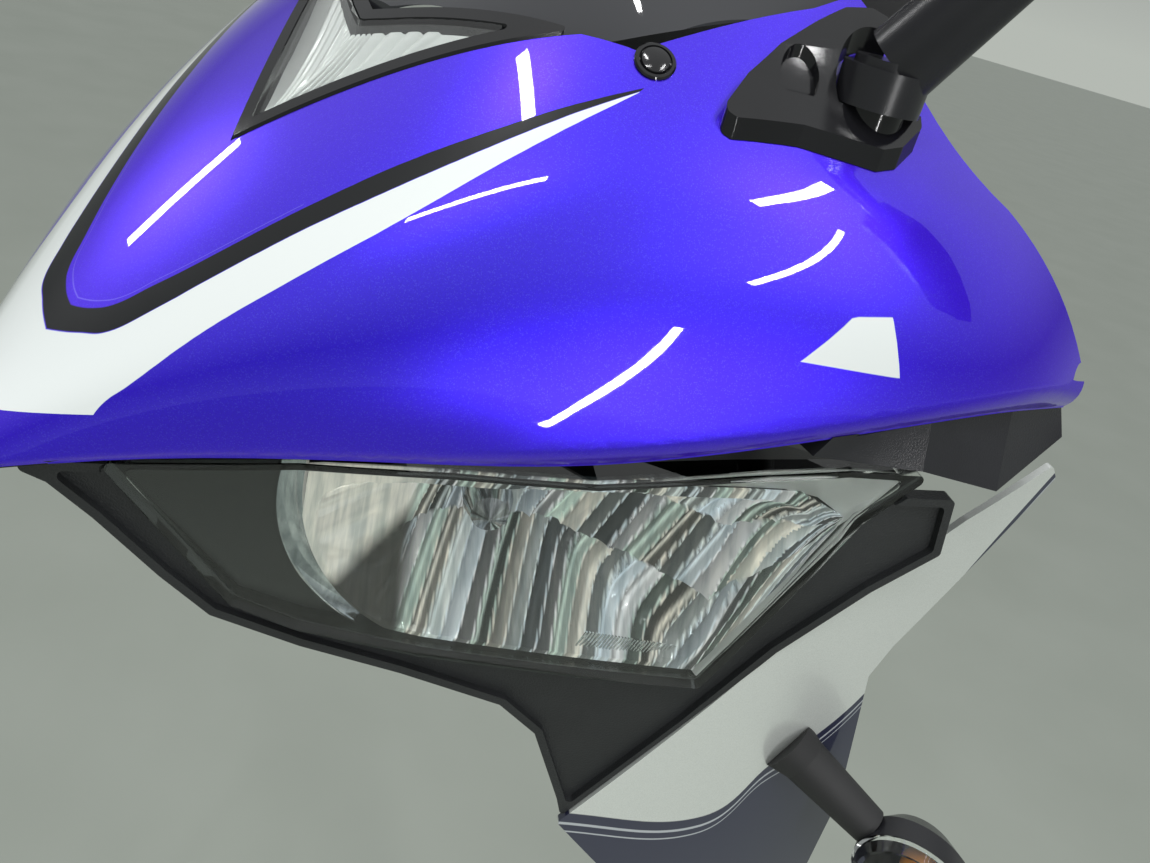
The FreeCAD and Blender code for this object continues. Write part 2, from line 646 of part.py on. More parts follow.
mouth_y = ball.y + size("mirror_mouth")
nose_y = mouth_y - size("mirror_depth")
half_y = mouth_y - 0.45 * size("mirror_depth")
waist = size("mirror_waist")
mirror_thick = size("mirror_wall")
shell_rings = [
    mirror_face(mouth_y, 0.0).OuterWire,
    mirror_face(half_y, waist).OuterWire,
    mirror_face(nose_y, size("mirror_nose")).OuterWire,
]
void_rings = [
    mirror_face(mouth_y + 1, mirror_thick).OuterWire,
    mirror_face(half_y, waist + mirror_thick).OuterWire,
    mirror_face(nose_y + mirror_thick, size("mirror_nose") + 0.5 * mirror_thick).OuterWire,
]
head_shell = Part.makeLoft(shell_rings, True, True).cut(Part.makeLoft(void_rings, True, True))
run_way = (ball - knee).normalize()
slot_start = 0.75 * size("slot_radius")
arm_slot = rod(ball - run_way * slot_start, ball - run_way * 0.5 * size("mirror_width"), size("slot_radius"))
socket_end = V(ball.x, ball.y + 0.6 * size("socket_radius"), ball.z)
socket_post = rod(V(ball.x, nose_y + 1, ball.z), socket_end, size("socket_radius"))
block = 2 * size("mirror_depth")
outer_side = Part.makeBox(block, block, block, V(ball.x + 0.5, ball.y - block / 2, ball.z - block / 2))
socket = socket_post.common(outer_side).cut(Part.makeSphere(size("ball_radius") + gap, ball))
mirror_head = feature("mirror_head_left", head_shell.cut(arm_slot).fuse(socket))
glass_front = mouth_y - 2 - size("glass_wall")
glass_plate = mirror_face(glass_front, size("glass_edge")).extrude(V(0, size("glass_wall"), 0))
mirror_glass = feature("mirror_glass_left", glass_plate)

# Turn signal: rubber stalk out of the side cowl, oval housing, lens and bulb, facing forwards
drop = math.radians(size("signal_drop"))
sweep = math.radians(size("signal_sweep"))
signal_run = V(math.cos(drop) * math.cos(sweep), math.cos(drop) * math.sin(sweep), -math.sin(drop))
signal_front = V(math.sin(sweep), -math.cos(sweep), 0)
signal_rise = signal_run.cross(signal_front)
SIGNAL_ROOT = (0.985, -0.340)
root_along = (SIGNAL_ROOT[0] - BOW_SHARE) * size("lamp_length")
root_depth = side_front + root_along ** 2 / (2 * size("side_radius"))
signal_root = to_bike(Part.Vertex(lamp_points([SIGNAL_ROOT], root_depth)[0])).Point
stalk_size = size("stalk_radius")
stalk_long = size("stalk_length")
STALK_RINGS = (
    # share of the stalk's length, share of its radius
    (-0.10, 1.30),
    (0.12, 1.05),
    (1.00, 0.85),
)


def stalk_ring(share, radius):
    ring = Part.Circle(signal_root + signal_run * stalk_long * share, signal_run, radius)
    return Part.Wire([ring.toShape()])


bow_at_bike = to_bike(Part.makeCylinder(size("side_radius") + gap, bow_tall, bow_axis))
stalk_wires = [stalk_ring(share, stalk_size * scale) for share, scale in STALK_RINGS]
signal_stalk = feature("signal_stalk_left", Part.makeLoft(stalk_wires, True, True).cut(bow_at_bike))
stalk_end = signal_root + signal_run * stalk_long
seat_back = 0.37 * size("signal_depth")
signal_middle = stalk_end + signal_run * (size("signal_length") * 0.5 - 1) + signal_front * seat_back


def signal_ring(back, share, inset=0.0):
    """An upright oval of the turn signal, back from its lens's seat."""
    centre = signal_middle - signal_front * back
    wide = size("signal_length") / 2 * share - inset
    tall = size("signal_radius") * share - inset
    ring = Part.Ellipse(centre + signal_run * wide, centre + signal_rise * tall, centre)
    return Part.Wire([ring.toShape()])


def signal_loft(rings, inset=0.0):
    return Part.makeLoft([signal_ring(back, share, inset) for back, share in rings], True, True)


thin = size("signal_wall")
case_back = size("signal_depth")
case = signal_loft(((0, 1.0), (0.5 * case_back, 0.96), (case_back, 0.62)))
case_void = signal_loft(((-1, 1.0), (0.5 * case_back, 0.93), (case_back - thin, 0.55)), thin)
stalk_tip = STALK_RINGS[-1][1] * stalk_size
room_rings = [stalk_ring(share, stalk_tip + gap) for share in (0, 1 + gap / stalk_long)]
stalk_room = Part.makeLoft(room_rings, True, True)
signal_housing = feature("signal_housing_left", case.cut([case_void, stalk_room]))
dome_front = size("signal_dome")
dome = signal_loft(((-gap, 1.0), (-0.6 * dome_front, 0.90), (-dome_front, 0.62)))
dome_void = signal_loft(((1 - gap, 1.0), (-0.6 * dome_front + thin, 0.88), (-dome_front + thin, 0.55)), thin)
signal_lens = feature("signal_lens_left", dome.cut(dome_void))
bulb_seat = signal_middle - signal_front * (case_back - thin - gap)
bulb_size = size("signal_bulb")
bulb_stem = rod(bulb_seat, bulb_seat + signal_front * bulb_size, 0.6 * bulb_size)
bulb_ball = Part.makeSphere(bulb_size, bulb_seat + signal_front * 1.7 * bulb_size)
signal_bulb = feature("signal_bulb_left", bulb_stem.fuse(bulb_ball))

# Headlamp bulb with its round shield, turned about its own axis
bulb_foot = lamp_points([BULB_MIDDLE], void_back - size("flute_step") - gap)[0]
headlamp_bulb = doc.addObject("PartDesign::Body", "headlamp_bulb_left")
headlamp_bulb.Label = "headlamp_bulb_left"


def body_plane(body, role):
    return next(plane for plane in body.Origin.OriginFeatures if plane.Role == role)


def bound_line(sketch, start, end):
    sketch.addGeometry(Part.LineSegment(V(*start, 0), V(*end, 0)), False)


profile = headlamp_bulb.newObject("Sketcher::SketchObject", "bulb_profile")
profile.AttachmentSupport = (body_plane(headlamp_bulb, "XZ_Plane"), [""])
profile.MapMode = "FlatFace"
shield_size = size("bulb_radius")
bulb_long = size("bulb_length")
BULB_PROFILE = ((0, 0), (1.0, 0), (1.0, 0.62), (0.75, 0.88), (0, 1.0))
bulb_corners = [(across * shield_size, along * bulb_long) for across, along in BULB_PROFILE]
for start, end in zip(bulb_corners, bulb_corners[1:] + bulb_corners[:1]):
    bound_line(profile, start, end)
turn = headlamp_bulb.newObject("PartDesign::Revolution", "bulb_turn")
turn.Profile = profile
turn.ReferenceAxis = (profile, ["V_Axis"])
turn.Angle = 360
headlamp_bulb.Tip = turn
to_front = FreeCAD.Placement(bulb_foot, FreeCAD.Rotation(V(1, 0, 0), 90))
face_turn = FreeCAD.Placement(V(0, 0, 0), FreeCAD.Rotation(UP, size("lamp_angle")))
to_mount = FreeCAD.Placement(V(0, -size("nose_reach"), size("nose_rise")), FreeCAD.Rotation())
headlamp_bulb.Placement = to_mount * face_turn * to_front

# Stay: headstock plate, two pairs of tubes, cross tubes and the pads under the mirror bases
plate_back = size("nose_reach")
plate_z = -size("nose_rise")
root_rise = 0.36 * size("plate_height")
upper_root = V(0.28 * size("plate_width"), plate_back - size("plate_wall") / 2, plate_z + root_rise)
lower_root = V(upper_root.x, upper_root.y, plate_z - root_rise)
elbow = V(0.5 * boss.x, 0.6 * plate_back + 0.4 * boss.y, 0.45 * boss.z)
head_end = V(boss.x - tube, boss.y, seat_foot.z - 1.3 * tube)
cross_end = V(head_end.x - 14, cross_y, lamp_back.z)
TUBES = (
    # start, end
    (upper_root, elbow),
    (elbow, head_end),
    (lower_root, cross_end),
    (cross_end, head_end),
    (V(0, cross_y, lamp_back.z), cross_end),
    (V(0, elbow.y, elbow.z), elbow),
)
bars = [rod(start, end, tube) for start, end in TUBES]
bars += [Part.makeSphere(tube, joint) for joint in (elbow, head_end, cross_end)]
pad = rod(V(boss.x, boss.y, head_end.z - 0.8 * tube), seat_foot - UP * gap, size("neck_radius"))
half_stay = bars[0].fuse(bars[1:] + [pad])
plate_front = plate_back - size("plate_wall")
plate_corner = V(-size("plate_width") / 2, plate_front, plate_z - size("plate_height") / 2)
plate = Part.makeBox(size("plate_width"), size("plate_wall"), size("plate_height"), plate_corner)
post_top = V(0, elbow.y, elbow.z + size("post_height"))
post = rod(V(0, elbow.y, elbow.z), post_top, tube)
other_half = half_stay.mirror(V(0, 0, 0), V(1, 0, 0))
stay_body = half_stay.fuse([other_half, plate, post])
for side in (-1, 1):
    bolt = V(0, plate_back, plate_z + side * size("bolt_spacing") / 2)
    stay_body = stay_body.cut(rod(bolt - V(0, 30, 0), bolt + V(0, 1, 0), size("bolt_radius")))
feature("fairing_stay", stay_body)

# Instrument on the stay's post
meter = doc.addObject("Part::Box", "meter_block")
meter.setExpression("Length", "sizes.meter_width")
meter.setExpression("Width", "sizes.meter_height")
meter.setExpression("Height", "sizes.meter_depth")
meter_case = doc.addObject("Part::Fillet", "instrument")
meter_case.Label = "instrument"
meter_case.Base = meter
doc.recompute()
rounding = size("meter_round")
UPRIGHT_EDGES = (1, 3, 5, 7)
meter_case.Edges = [(number, rounding, rounding) for number in UPRIGHT_EDGES]
tilt = FreeCAD.Rotation(V(1, 0, 0), size("meter_tilt"))
meter_corner = tilt.multVec(V(-size("meter_width") / 2, -size("meter_height") / 2, 0))
meter_seat = post_top + UP * (gap + tube * math.tan(math.radians(size("meter_tilt"))))
to_headstock = V(0, -size("nose_reach"), size("nose_rise"))
meter.Placement = FreeCAD.Placement(meter_seat + meter_corner + to_headstock, tilt)

# Right-hand twins
LEFT_PIECES = (
    headlamp_lens, headlamp_housing, headlamp_reflector, headlamp_mask, headlamp_bulb, lower_trim, side_cowl,
    winglet, mirror_base, mirror_arm, mirror_head, mirror_glass, signal_stalk, signal_housing, signal_lens,
    signal_bulb,
)
for piece in LEFT_PIECES:
    mirrored(piece, piece.Label.replace("_left", "_right"))
doc.recompute()

# Check every object, then write each sub-part under its own name
for item in doc.Objects:
    if "Invalid" in item.State or "Error" in item.State:
        raise RuntimeError(f"{item.Name} failed: {item.State}")
SUBPART_TYPES = ("Part::Feature", "Part::Mirroring", "PartDesign::Body", "Part::Fillet")
pieces = [item for item in doc.Objects if item.TypeId in SUBPART_TYPES]
os.makedirs("parts", exist_ok=True)
for item in pieces:
    if item.Shape.isNull() or not item.Shape.isValid():
        raise RuntimeError(f"{item.Label} has no valid shape")
    item.Shape.exportStep(f"parts/{item.Label}.step")
    print(item.Label, len(item.Shape.Solids), round(item.Shape.Volume))
print(len(pieces), "sub-parts written")
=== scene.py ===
# %% [markdown]
# # Front fairing of a sport bike
# A pointed nose cowl in violet-blue metallic paint carries two slanted headlamps, a small clear position
# lamp, a smoked screen, folding mirrors and turn signals. The CAD solids come in with their true sizes.
# This script gives them paint, glass, chrome and grained plastic, and adds what a workshop fits last:
# fluted reflectors, lamp rings and bezels, fine ribs, clips and pinstripes.

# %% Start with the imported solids
import math

import bmesh
import bpy
import numpy as np
from mathutils import Matrix, Vector
from mathutils.bvhtree import BVHTree


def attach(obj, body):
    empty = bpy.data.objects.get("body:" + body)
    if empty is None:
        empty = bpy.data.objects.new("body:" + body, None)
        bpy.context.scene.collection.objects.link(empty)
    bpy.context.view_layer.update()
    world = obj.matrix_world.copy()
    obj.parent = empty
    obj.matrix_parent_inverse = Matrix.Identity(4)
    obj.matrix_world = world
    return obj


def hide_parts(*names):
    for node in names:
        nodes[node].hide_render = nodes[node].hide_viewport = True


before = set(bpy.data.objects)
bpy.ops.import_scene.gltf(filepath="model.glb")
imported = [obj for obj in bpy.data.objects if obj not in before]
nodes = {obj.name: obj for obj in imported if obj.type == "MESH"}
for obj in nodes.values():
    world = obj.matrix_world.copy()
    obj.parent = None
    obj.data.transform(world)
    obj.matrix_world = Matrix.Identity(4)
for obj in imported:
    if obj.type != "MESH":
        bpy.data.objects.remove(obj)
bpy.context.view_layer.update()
scene = bpy.context.scene
SIDES = (("left", 1), ("right", -1))

# %% [markdown]
# Lengths in the CAD are drawn from the nose tip, in millimetres. The fairing's origin is at its
# headstock bolts, so one helper turns a nose-tip place into scene metres.

# %% Places measured from the nose tip
NOSE_REACH = 400.0
NOSE_RISE = 20.0


def place(x, y, z):
    """A point in millimetres from the nose tip, in scene metres."""
    return Vector((x, y - NOSE_REACH, z + NOSE_RISE)) / 1000


def into_scene(name, data):
    """A new object in the scene."""
    thing = bpy.data.objects.new(name, data)
    scene.collection.objects.link(thing)
    return thing


def look(yaw, pitch, roll):
    """A camera's turn: yaw to its left, pitch down and roll to its right, all in degrees."""
    yaw, pitch, roll = (math.radians(angle) for angle in (yaw, pitch, roll))
    forward = Vector((-math.sin(yaw) * math.cos(pitch), math.cos(yaw) * math.cos(pitch), -math.sin(pitch)))
    level = Vector((math.cos(yaw), math.sin(yaw), 0))
    above = level.cross(forward)
    right = level * math.cos(roll) + above * math.sin(roll)
    up = above * math.cos(roll) - level * math.sin(roll)
    return Matrix((right, up, -forward)).transposed()


# %% [markdown]
# The camera stands close to the rider's left of the nose and looks down along the headlamp, as someone
# does who bends over the bike. It is turned by three angles, as a tripod's head is, because each of them
# can be set without upsetting the others.

# %% Camera
CAMERA_PLACE = place(272.5, -81.1, 176.4)
CAMERA_YAW = 35.13
CAMERA_PITCH = 26.51
CAMERA_ROLL = 15.19
CAMERA_LENS = 31.90

camera_data = bpy.data.cameras.new("camera")
camera_data.lens = CAMERA_LENS
camera_data.sensor_width = 36.0
camera_data.clip_start = 0.01
camera = into_scene("camera", camera_data)
camera.matrix_world = Matrix.Translation(CAMERA_PLACE) @ look(CAMERA_YAW, CAMERA_PITCH, CAMERA_ROLL).to_4x4()
scene.camera = camera
print("camera", [round(v, 3) for v in CAMERA_PLACE], "lens", CAMERA_LENS)

# %% [markdown]
# Paint, glass and plastic are all Principled shaders. The helpers here write a node tree in few words:
# `add` makes a node, sets its options and links or fills its inputs, and `calc` is a Math node.


# %% Helpers for nodes
def add(tree, kind, inputs=(), **options):
    """A new node; inputs are (socket, value) pairs, where a value may be another node's output."""
    node = tree.nodes.new(kind)
    for name, value in options.items():
        setattr(node, name, value)
    for socket, value in dict(inputs).items():
        if isinstance(value, bpy.types.NodeSocket):
            tree.links.new(value, node.inputs[socket])
        else:
            node.inputs[socket].default_value = value
    return node


def calc(tree, operation, *values, clamp=False):
    """A Math node's result."""
    return add(tree, "ShaderNodeMath", enumerate(values), operation=operation, use_clamp=clamp).outputs[0]


def times(tree, *values):
    """The product of two or more values."""
    product = values[0]
    for value in values[1:]:
        product = calc(tree, "MULTIPLY", product, value)
    return product


def between(tree, value, low, high, soft):
    """1 where value lies between low and high, with an edge that is soft wide."""
    above = calc(tree, "DIVIDE", calc(tree, "SUBTRACT", value, low), soft, clamp=True)
    below = calc(tree, "DIVIDE", calc(tree, "SUBTRACT", high, value), soft, clamp=True)
    return times(tree, above, below)


def blend_colour(tree, share, first, second):
    """A mix of two colours."""
    return add(tree, "ShaderNodeMix", ((0, share), (6, first), (7, second)), data_type="RGBA").outputs[2]


def noise(tree, spot, scale, detail, rough=0.5):
    """A cloudy pattern's value."""
    inputs = (("Vector", spot), ("Scale", scale), ("Detail", detail), ("Roughness", rough))
    return add(tree, "ShaderNodeTexNoise", inputs).outputs[0]


def line_curve(tree, value, spans, points, handle="AUTO"):
    """A value looked up in a curve through points, which lie within two spans."""
    span_in, span_out = spans
    share = calc(tree, "DIVIDE", value, span_in)
    node = add(tree, "ShaderNodeFloatCurve", (("Value", share),))
    curve = node.mapping.curves[0]
    while len(curve.points) > 2:
        curve.points.remove(curve.points[-1])
    corners = [(x / span_in, y / span_out) for x, y in points]
    curve.points[0].location = corners[0]
    curve.points[1].location = corners[-1]
    for corner in corners[1:-1]:
        curve.points.new(*corner)
    for point in curve.points:
        point.handle_type = handle
    node.mapping.update()
    return times(tree, node.outputs[0], span_out)


# %% [markdown]
# A pattern has to stay on its piece when the piece turns, so every material reads Object coordinates.
# They are turned into millimetres from the nose tip, or into places on the headlamps' slanted faces.


# %% Helpers for places and materials
LAMP_TURN = math.radians(49.8)


def nose_places(tree):
    """Millimetres from the nose tip: all three together, and x, y and z."""
    spot = add(tree, "ShaderNodeTexCoord").outputs["Object"]
    scaled = add(tree, "ShaderNodeMapping", (("Vector", spot), ("Scale", (1000, 1000, 1000)),
                                             ("Location", (0, NOSE_REACH, -NOSE_RISE))))
    parts = add(tree, "ShaderNodeSeparateXYZ", ((0, scaled.outputs[0]),))
    return scaled.outputs[0], parts.outputs[0], parts.outputs[1], parts.outputs[2]


def shader_inputs(made):
    """The sockets of a material's Principled shader."""
    return made.node_tree.nodes["Principled BSDF"].inputs


swatches = {}


def material(name, **values):
    """A Principled material; each keyword is a socket's name in lower case with underscores."""
    made = bpy.data.materials.new(name)
    made.use_nodes = True
    swatches[name] = made
    for key, value in values.items():
        shader_inputs(made)[key.replace("_", " ").title().replace("Ior", "IOR")].default_value = value
    return made


def feed(made, socket, value):
    """Links a value to a socket of a material's Principled shader."""
    made.node_tree.links.new(value, shader_inputs(made)[socket])


def bump(tree, height, strength, distance):
    """A normal bent by a height."""
    inputs = (("Height", height), ("Strength", strength), ("Distance", distance))
    return add(tree, "ShaderNodeBump", inputs).outputs[0]


def lamp_face(tree):
    """Distances along the headlamps' faces, up them and behind them, alike on both sides."""
    _, x_mm, y_mm, z_mm = nose_places(tree)
    out = calc(tree, "ABSOLUTE", x_mm)
    cosine, sine = math.cos(LAMP_TURN), math.sin(LAMP_TURN)
    along = calc(tree, "ADD", times(tree, out, cosine), times(tree, y_mm, sine))
    behind = calc(tree, "SUBTRACT", times(tree, y_mm, cosine), times(tree, out, sine))
    return along, z_mm, behind


# %% [markdown]
# The cowl's paint is a blue base with mica in it under clear varnish. Seen square on it is a deep blue,
# and along the skin it turns violet. Two stickers run back from the nose on each side: a white stripe
# with a black one inside it. Each edge is a curve of its distance behind the nose over its distance
# from the middle, so that both halves match, and stays sharp at any distance, as an image would not. The
# inside of the cowl stays plain black plastic.

# %% Sizes and colours of the paint
PAINT_DEEP = (0.034, 0.010, 0.76, 1)
PAINT_VIOLET = (0.105, 0.010, 0.86, 1)
STRIPE_WHITE = (0.84, 0.88, 0.87, 1)
STRIPE_BLACK = (0.006, 0.007, 0.008, 1)
INNER_BLACK = (0.020, 0.020, 0.022, 1)
BLACK_INNER_EDGE = ((0, 46.5), (8.5, 49), (14, 52.5), (19.5, 59.5), (27, 69.5), (40.5, 91), (53, 113),
                    (66, 136.5), (73.5, 151.5), (85, 175))
BLACK_WHITE_EDGE = ((0, 39.5), (11.5, 43.5), (20, 48), (26, 56), (32.5, 66.5), (45, 88), (57.5, 110.5),
                    (69, 134.5), (80, 161), (85, 173.5))
WHITE_OUTER_EDGE = ((0, 0), (30, 0), (32.5, 38), (36, 46), (42.5, 61.5), (53.5, 83.5), (64, 106.5),
                    (73, 132), (81.5, 160), (85, 173.5))
STRIPE_TIP = 84.6
WHITE_FOOT = (16.4, 0.279)
DART_TOP = ((190, 74), (203.5, 89.5), (212, 91.4), (240, 96))
DART_FOOT = ((190, 74), (212, 75), (240, 80))
DART_BACK = 213.0
DART_FRONT = 120
STRIPE_SPANS = (100, 200)
DART_SPANS = (400, 200)
STICKER_EDGE = 0.25
DART_EDGE = 0.3
THIN_LINE = (0.45, 0.42, 0.95, 1)
THIN_LINE_AT = 1.6
THIN_LINE_WIDE = 0.5
THIN_LINE_EDGE = 0.2
THIN_LINE_REACH = 40
THIN_LINE_SHARE = 0.25
MICA_SIZE = 0.28
MICA_LIGHT = (0.20, 0.22, 0.90, 1)
MICA_DARK = (0.01, 0.01, 0.25, 1)
MICA_LIGHT_ABOVE = 0.90
MICA_DARK_BELOW = 0.25
MICA_SHARE = 0.10
MICA_BUMP = (0.06, 0.0002)
VIOLET_FROM = 0.55
PAINT_METAL = 0.55
PAINT_ROUGH = 0.30
INNER_ROUGH_MORE = 0.25
BLACK_DULL = 0.55

# %% Stickers on the paint
paint = material("blue_paint", roughness=PAINT_ROUGH, specular_ior_level=0.15, coat_weight=1.0,
                 coat_roughness=0.015, coat_ior=1.5)
tree = paint.node_tree
spot, x_mm, y_mm, z_mm = nose_places(tree)
out_mm = calc(tree, "ABSOLUTE", x_mm)
black_in = line_curve(tree, out_mm, STRIPE_SPANS, BLACK_INNER_EDGE)
black_out = line_curve(tree, out_mm, STRIPE_SPANS, BLACK_WHITE_EDGE)
white_out = line_curve(tree, out_mm, STRIPE_SPANS, WHITE_OUTER_EDGE)
not_past_tip = calc(tree, "LESS_THAN", out_mm, STRIPE_TIP)
foot_line = calc(tree, "MULTIPLY_ADD", out_mm, WHITE_FOOT[1], WHITE_FOOT[0])
above_foot = calc(tree, "GREATER_THAN", z_mm, foot_line)
black_band = times(tree, between(tree, y_mm, black_out, black_in, STICKER_EDGE), not_past_tip)
white_band = between(tree, y_mm, white_out, black_out, STICKER_EDGE)
white_band = times(tree, white_band, above_foot, not_past_tip)
dart_low = line_curve(tree, y_mm, DART_SPANS, DART_FOOT, "VECTOR")
dart_high = line_curve(tree, y_mm, DART_SPANS, DART_TOP, "VECTOR")
dart = times(tree, between(tree, z_mm, dart_low, dart_high, DART_EDGE),
             calc(tree, "LESS_THAN", y_mm, DART_BACK), calc(tree, "GREATER_THAN", out_mm, DART_FRONT))
white_share = calc(tree, "MAXIMUM", white_band, dart)
inner_line = calc(tree, "ADD", black_in, THIN_LINE_AT)
inner_line_end = calc(tree, "ADD", inner_line, THIN_LINE_WIDE)
thin_line = times(tree, between(tree, y_mm, inner_line, inner_line_end, THIN_LINE_EDGE),
                  calc(tree, "LESS_THAN", out_mm, THIN_LINE_REACH))
print("stickers", len(tree.nodes), "nodes")

# %% Mica under the stickers
mica = add(tree, "ShaderNodeTexVoronoi", (("Vector", spot), ("Scale", 1 / MICA_SIZE)))
mica_shade = add(tree, "ShaderNodeSeparateColor", ((0, mica.outputs["Color"]),)).outputs[0]
angle = add(tree, "ShaderNodeLayerWeight", (("Blend", VIOLET_FROM),)).outputs["Facing"]
blue = blend_colour(tree, angle, PAINT_DEEP, PAINT_VIOLET)
for compare, limit, colour in (("GREATER_THAN", MICA_LIGHT_ABOVE, MICA_LIGHT),
                               ("LESS_THAN", MICA_DARK_BELOW, MICA_DARK)):
    flakes = times(tree, calc(tree, compare, mica_shade, limit), MICA_SHARE)
    blue = blend_colour(tree, flakes, blue, colour)
blue = blend_colour(tree, times(tree, thin_line, THIN_LINE_SHARE), blue, THIN_LINE)
coloured = blend_colour(tree, black_band, blue, STRIPE_BLACK)
coloured = blend_colour(tree, white_share, coloured, STRIPE_WHITE)

# %% [markdown]
# The cowl is one solid with a painted outside and a bare inside. Inside, the normal points to a line under
# the middle of the cowl, so no face has to be picked by hand.

# %% Bare inside of the cowl
COWL_LINE_UNDER = 40
INSIDE_BELOW = -4.0
geometry = add(tree, "ShaderNodeNewGeometry")
above_line = calc(tree, "ADD", z_mm, COWL_LINE_UNDER)
outwards = add(tree, "ShaderNodeCombineXYZ", ((0, x_mm), (1, 0.0), (2, above_line)))
facing_out = add(tree, "ShaderNodeVectorMath", ((0, outwards.outputs[0]), (1, geometry.outputs["Normal"])),
                 operation="DOT_PRODUCT")
inside = calc(tree, "LESS_THAN", facing_out.outputs["Value"], INSIDE_BELOW)
coloured = blend_colour(tree, inside, coloured, INNER_BLACK)
plain = calc(tree, "MAXIMUM", calc(tree, "MAXIMUM", white_share, black_band), inside)
feed(paint, "Base Color", coloured)
feed(paint, "Metallic", times(tree, calc(tree, "SUBTRACT", 1.0, plain), PAINT_METAL))
dull = calc(tree, "MAXIMUM", inside, times(tree, black_band, BLACK_DULL))
feed(paint, "Coat Weight", calc(tree, "SUBTRACT", 1.0, dull))
feed(paint, "Roughness", calc(tree, "MULTIPLY_ADD", inside, INNER_ROUGH_MORE, PAINT_ROUGH))
feed(paint, "Normal", bump(tree, mica_shade, *MICA_BUMP))
print("paint nodes", len(tree.nodes))

# %% [markdown]
# The unpainted plastic is grained: shallow cells of leather grain with fine noise over them. It could be
# carved, but that takes millions of faces, so it is a bump. More than one plastic uses the grain, so it
# is a node group with its cell size as an input, and each material takes the height into its own Bump node.

# %% Grain for moulded plastic
GRAIN_CELL = 1.2
GRAIN_FINE_SCALE = 2.2
GRAIN_WIDE_SCALE = 0.03
GRAIN_ROUND = 0.6
GRAIN_FINE_SHARE = 0.35
GRAIN_DEPTH = 0.0003

grain = bpy.data.node_groups.new("moulded_grain", "ShaderNodeTree")
grain.interface.new_socket("Cell", in_out="INPUT", socket_type="NodeSocketFloat").default_value = GRAIN_CELL
for name in ("Height", "Shade"):
    grain.interface.new_socket(name, in_out="OUTPUT", socket_type="NodeSocketFloat")
grain_in = grain.nodes.new("NodeGroupInput")
grain_out = grain.nodes.new("NodeGroupOutput")
spot = nose_places(grain)[0]
cell_scale = calc(grain, "DIVIDE", 1.0, grain_in.outputs["Cell"])
cells = add(grain, "ShaderNodeTexVoronoi", (("Vector", spot), ("Scale", cell_scale)),
            feature="DISTANCE_TO_EDGE")
rounded = calc(grain, "POWER", cells.outputs["Distance"], GRAIN_ROUND)
height = calc(grain, "MULTIPLY_ADD", noise(grain, spot, GRAIN_FINE_SCALE, 4.0), GRAIN_FINE_SHARE, rounded)
grain.links.new(height, grain_out.inputs["Height"])
grain.links.new(noise(grain, spot, GRAIN_WIDE_SCALE, 3.0), grain_out.inputs["Shade"])


def grained(name, dark, light, cell, strength, **values):
    """A plastic whose colour drifts a little between dark and light, with leather grain."""
    made = material(name, **values)
    tree = made.node_tree
    node = add(tree, "ShaderNodeGroup", node_tree=grain)
    node.inputs["Cell"].default_value = cell
    feed(made, "Base Color", blend_colour(tree, node.outputs["Shade"], dark, light))
    feed(made, "Normal", bump(tree, node.outputs["Height"], strength, GRAIN_DEPTH))
    return made


# %% [markdown]
# The blacks of a fairing differ. The trims are coarse and dull, the housings plainer, the mirrors satin,
# and the lamp's mask is smooth and faintly green. One table holds them, so that they can be compared.

# %% Black plastics and rubber
PLASTICS = {
    # name: dark colour, light colour, cell of the grain in millimetres, strength of the grain, roughness
    "grained_black": ((0.012, 0.013, 0.014, 1), (0.030, 0.032, 0.034, 1), 1.1, 0.5, 0.42),
    "textured_black": ((0.012, 0.012, 0.014, 1), (0.024, 0.024, 0.027, 1), 0.6, 0.25, 0.5),
    "satin_black": ((0.010, 0.010, 0.012, 1), (0.022, 0.022, 0.026, 1), 0.5, 0.06, 0.27),
    "gloss_black": ((0.006, 0.006, 0.007, 1), (0.012, 0.012, 0.014, 1), 0.5, 0.02, 0.10),
    "stay_black": ((0.015, 0.015, 0.017, 1), (0.024, 0.024, 0.027, 1), 0.5, 0.10, 0.4),
    "mask_black": ((0.012, 0.014, 0.014, 1), (0.024, 0.027, 0.026, 1), 0.6, 0.08, 0.33),
    "soft_rubber": ((0.016, 0.016, 0.017, 1), (0.028, 0.028, 0.029, 1), 0.4, 0.2, 0.6),
    "winglet_black": ((0.012, 0.012, 0.015, 1), (0.028, 0.028, 0.034, 1), 0.8, 0.25, 0.28),
}
for name, (*look_of, rough) in PLASTICS.items():
    grained(name, *look_of, roughness=rough)
print(len(PLASTICS), "plastics")

# %% [markdown]
# Clear plastic lenses, chrome and the mirrors' glass. Chrome only looks like chrome when it has light
# and dark around it, so the lamps' mirrors get faint darker streaks painted into their colour, as painted
# reflections. Shadow rays stop at a lens, so a little emission, a painted glow, stands for the light that a
# real one lets in.

# %% Glass and chrome
LENS_CLEAR = (0.98, 1.0, 0.99, 1)
SCREEN_SMOKE = (0.030, 0.031, 0.036, 1)
PLASTIC_IOR = 1.49
LENS_LIGHT = 0.38
FLUTED_METAL = 0.40
REFLECTION_STREAKS_ALONG = 0.30
REFLECTION_STREAKS_UP = 0.030
REFLECTION_STREAKS_CONTRAST = 4.0

material("clear_lens", base_color=LENS_CLEAR, roughness=0.0, transmission_weight=1.0, ior=PLASTIC_IOR)
material("smoked_screen", base_color=SCREEN_SMOKE, roughness=0.03, coat_weight=0.5, ior=PLASTIC_IOR)
material("mirror_glass", base_color=(0.80, 0.82, 0.85, 1), metallic=1.0, roughness=0.01)
material("amber_bulb", base_color=(0.9, 0.32, 0.03, 1), roughness=0.15, coat_weight=1.0)


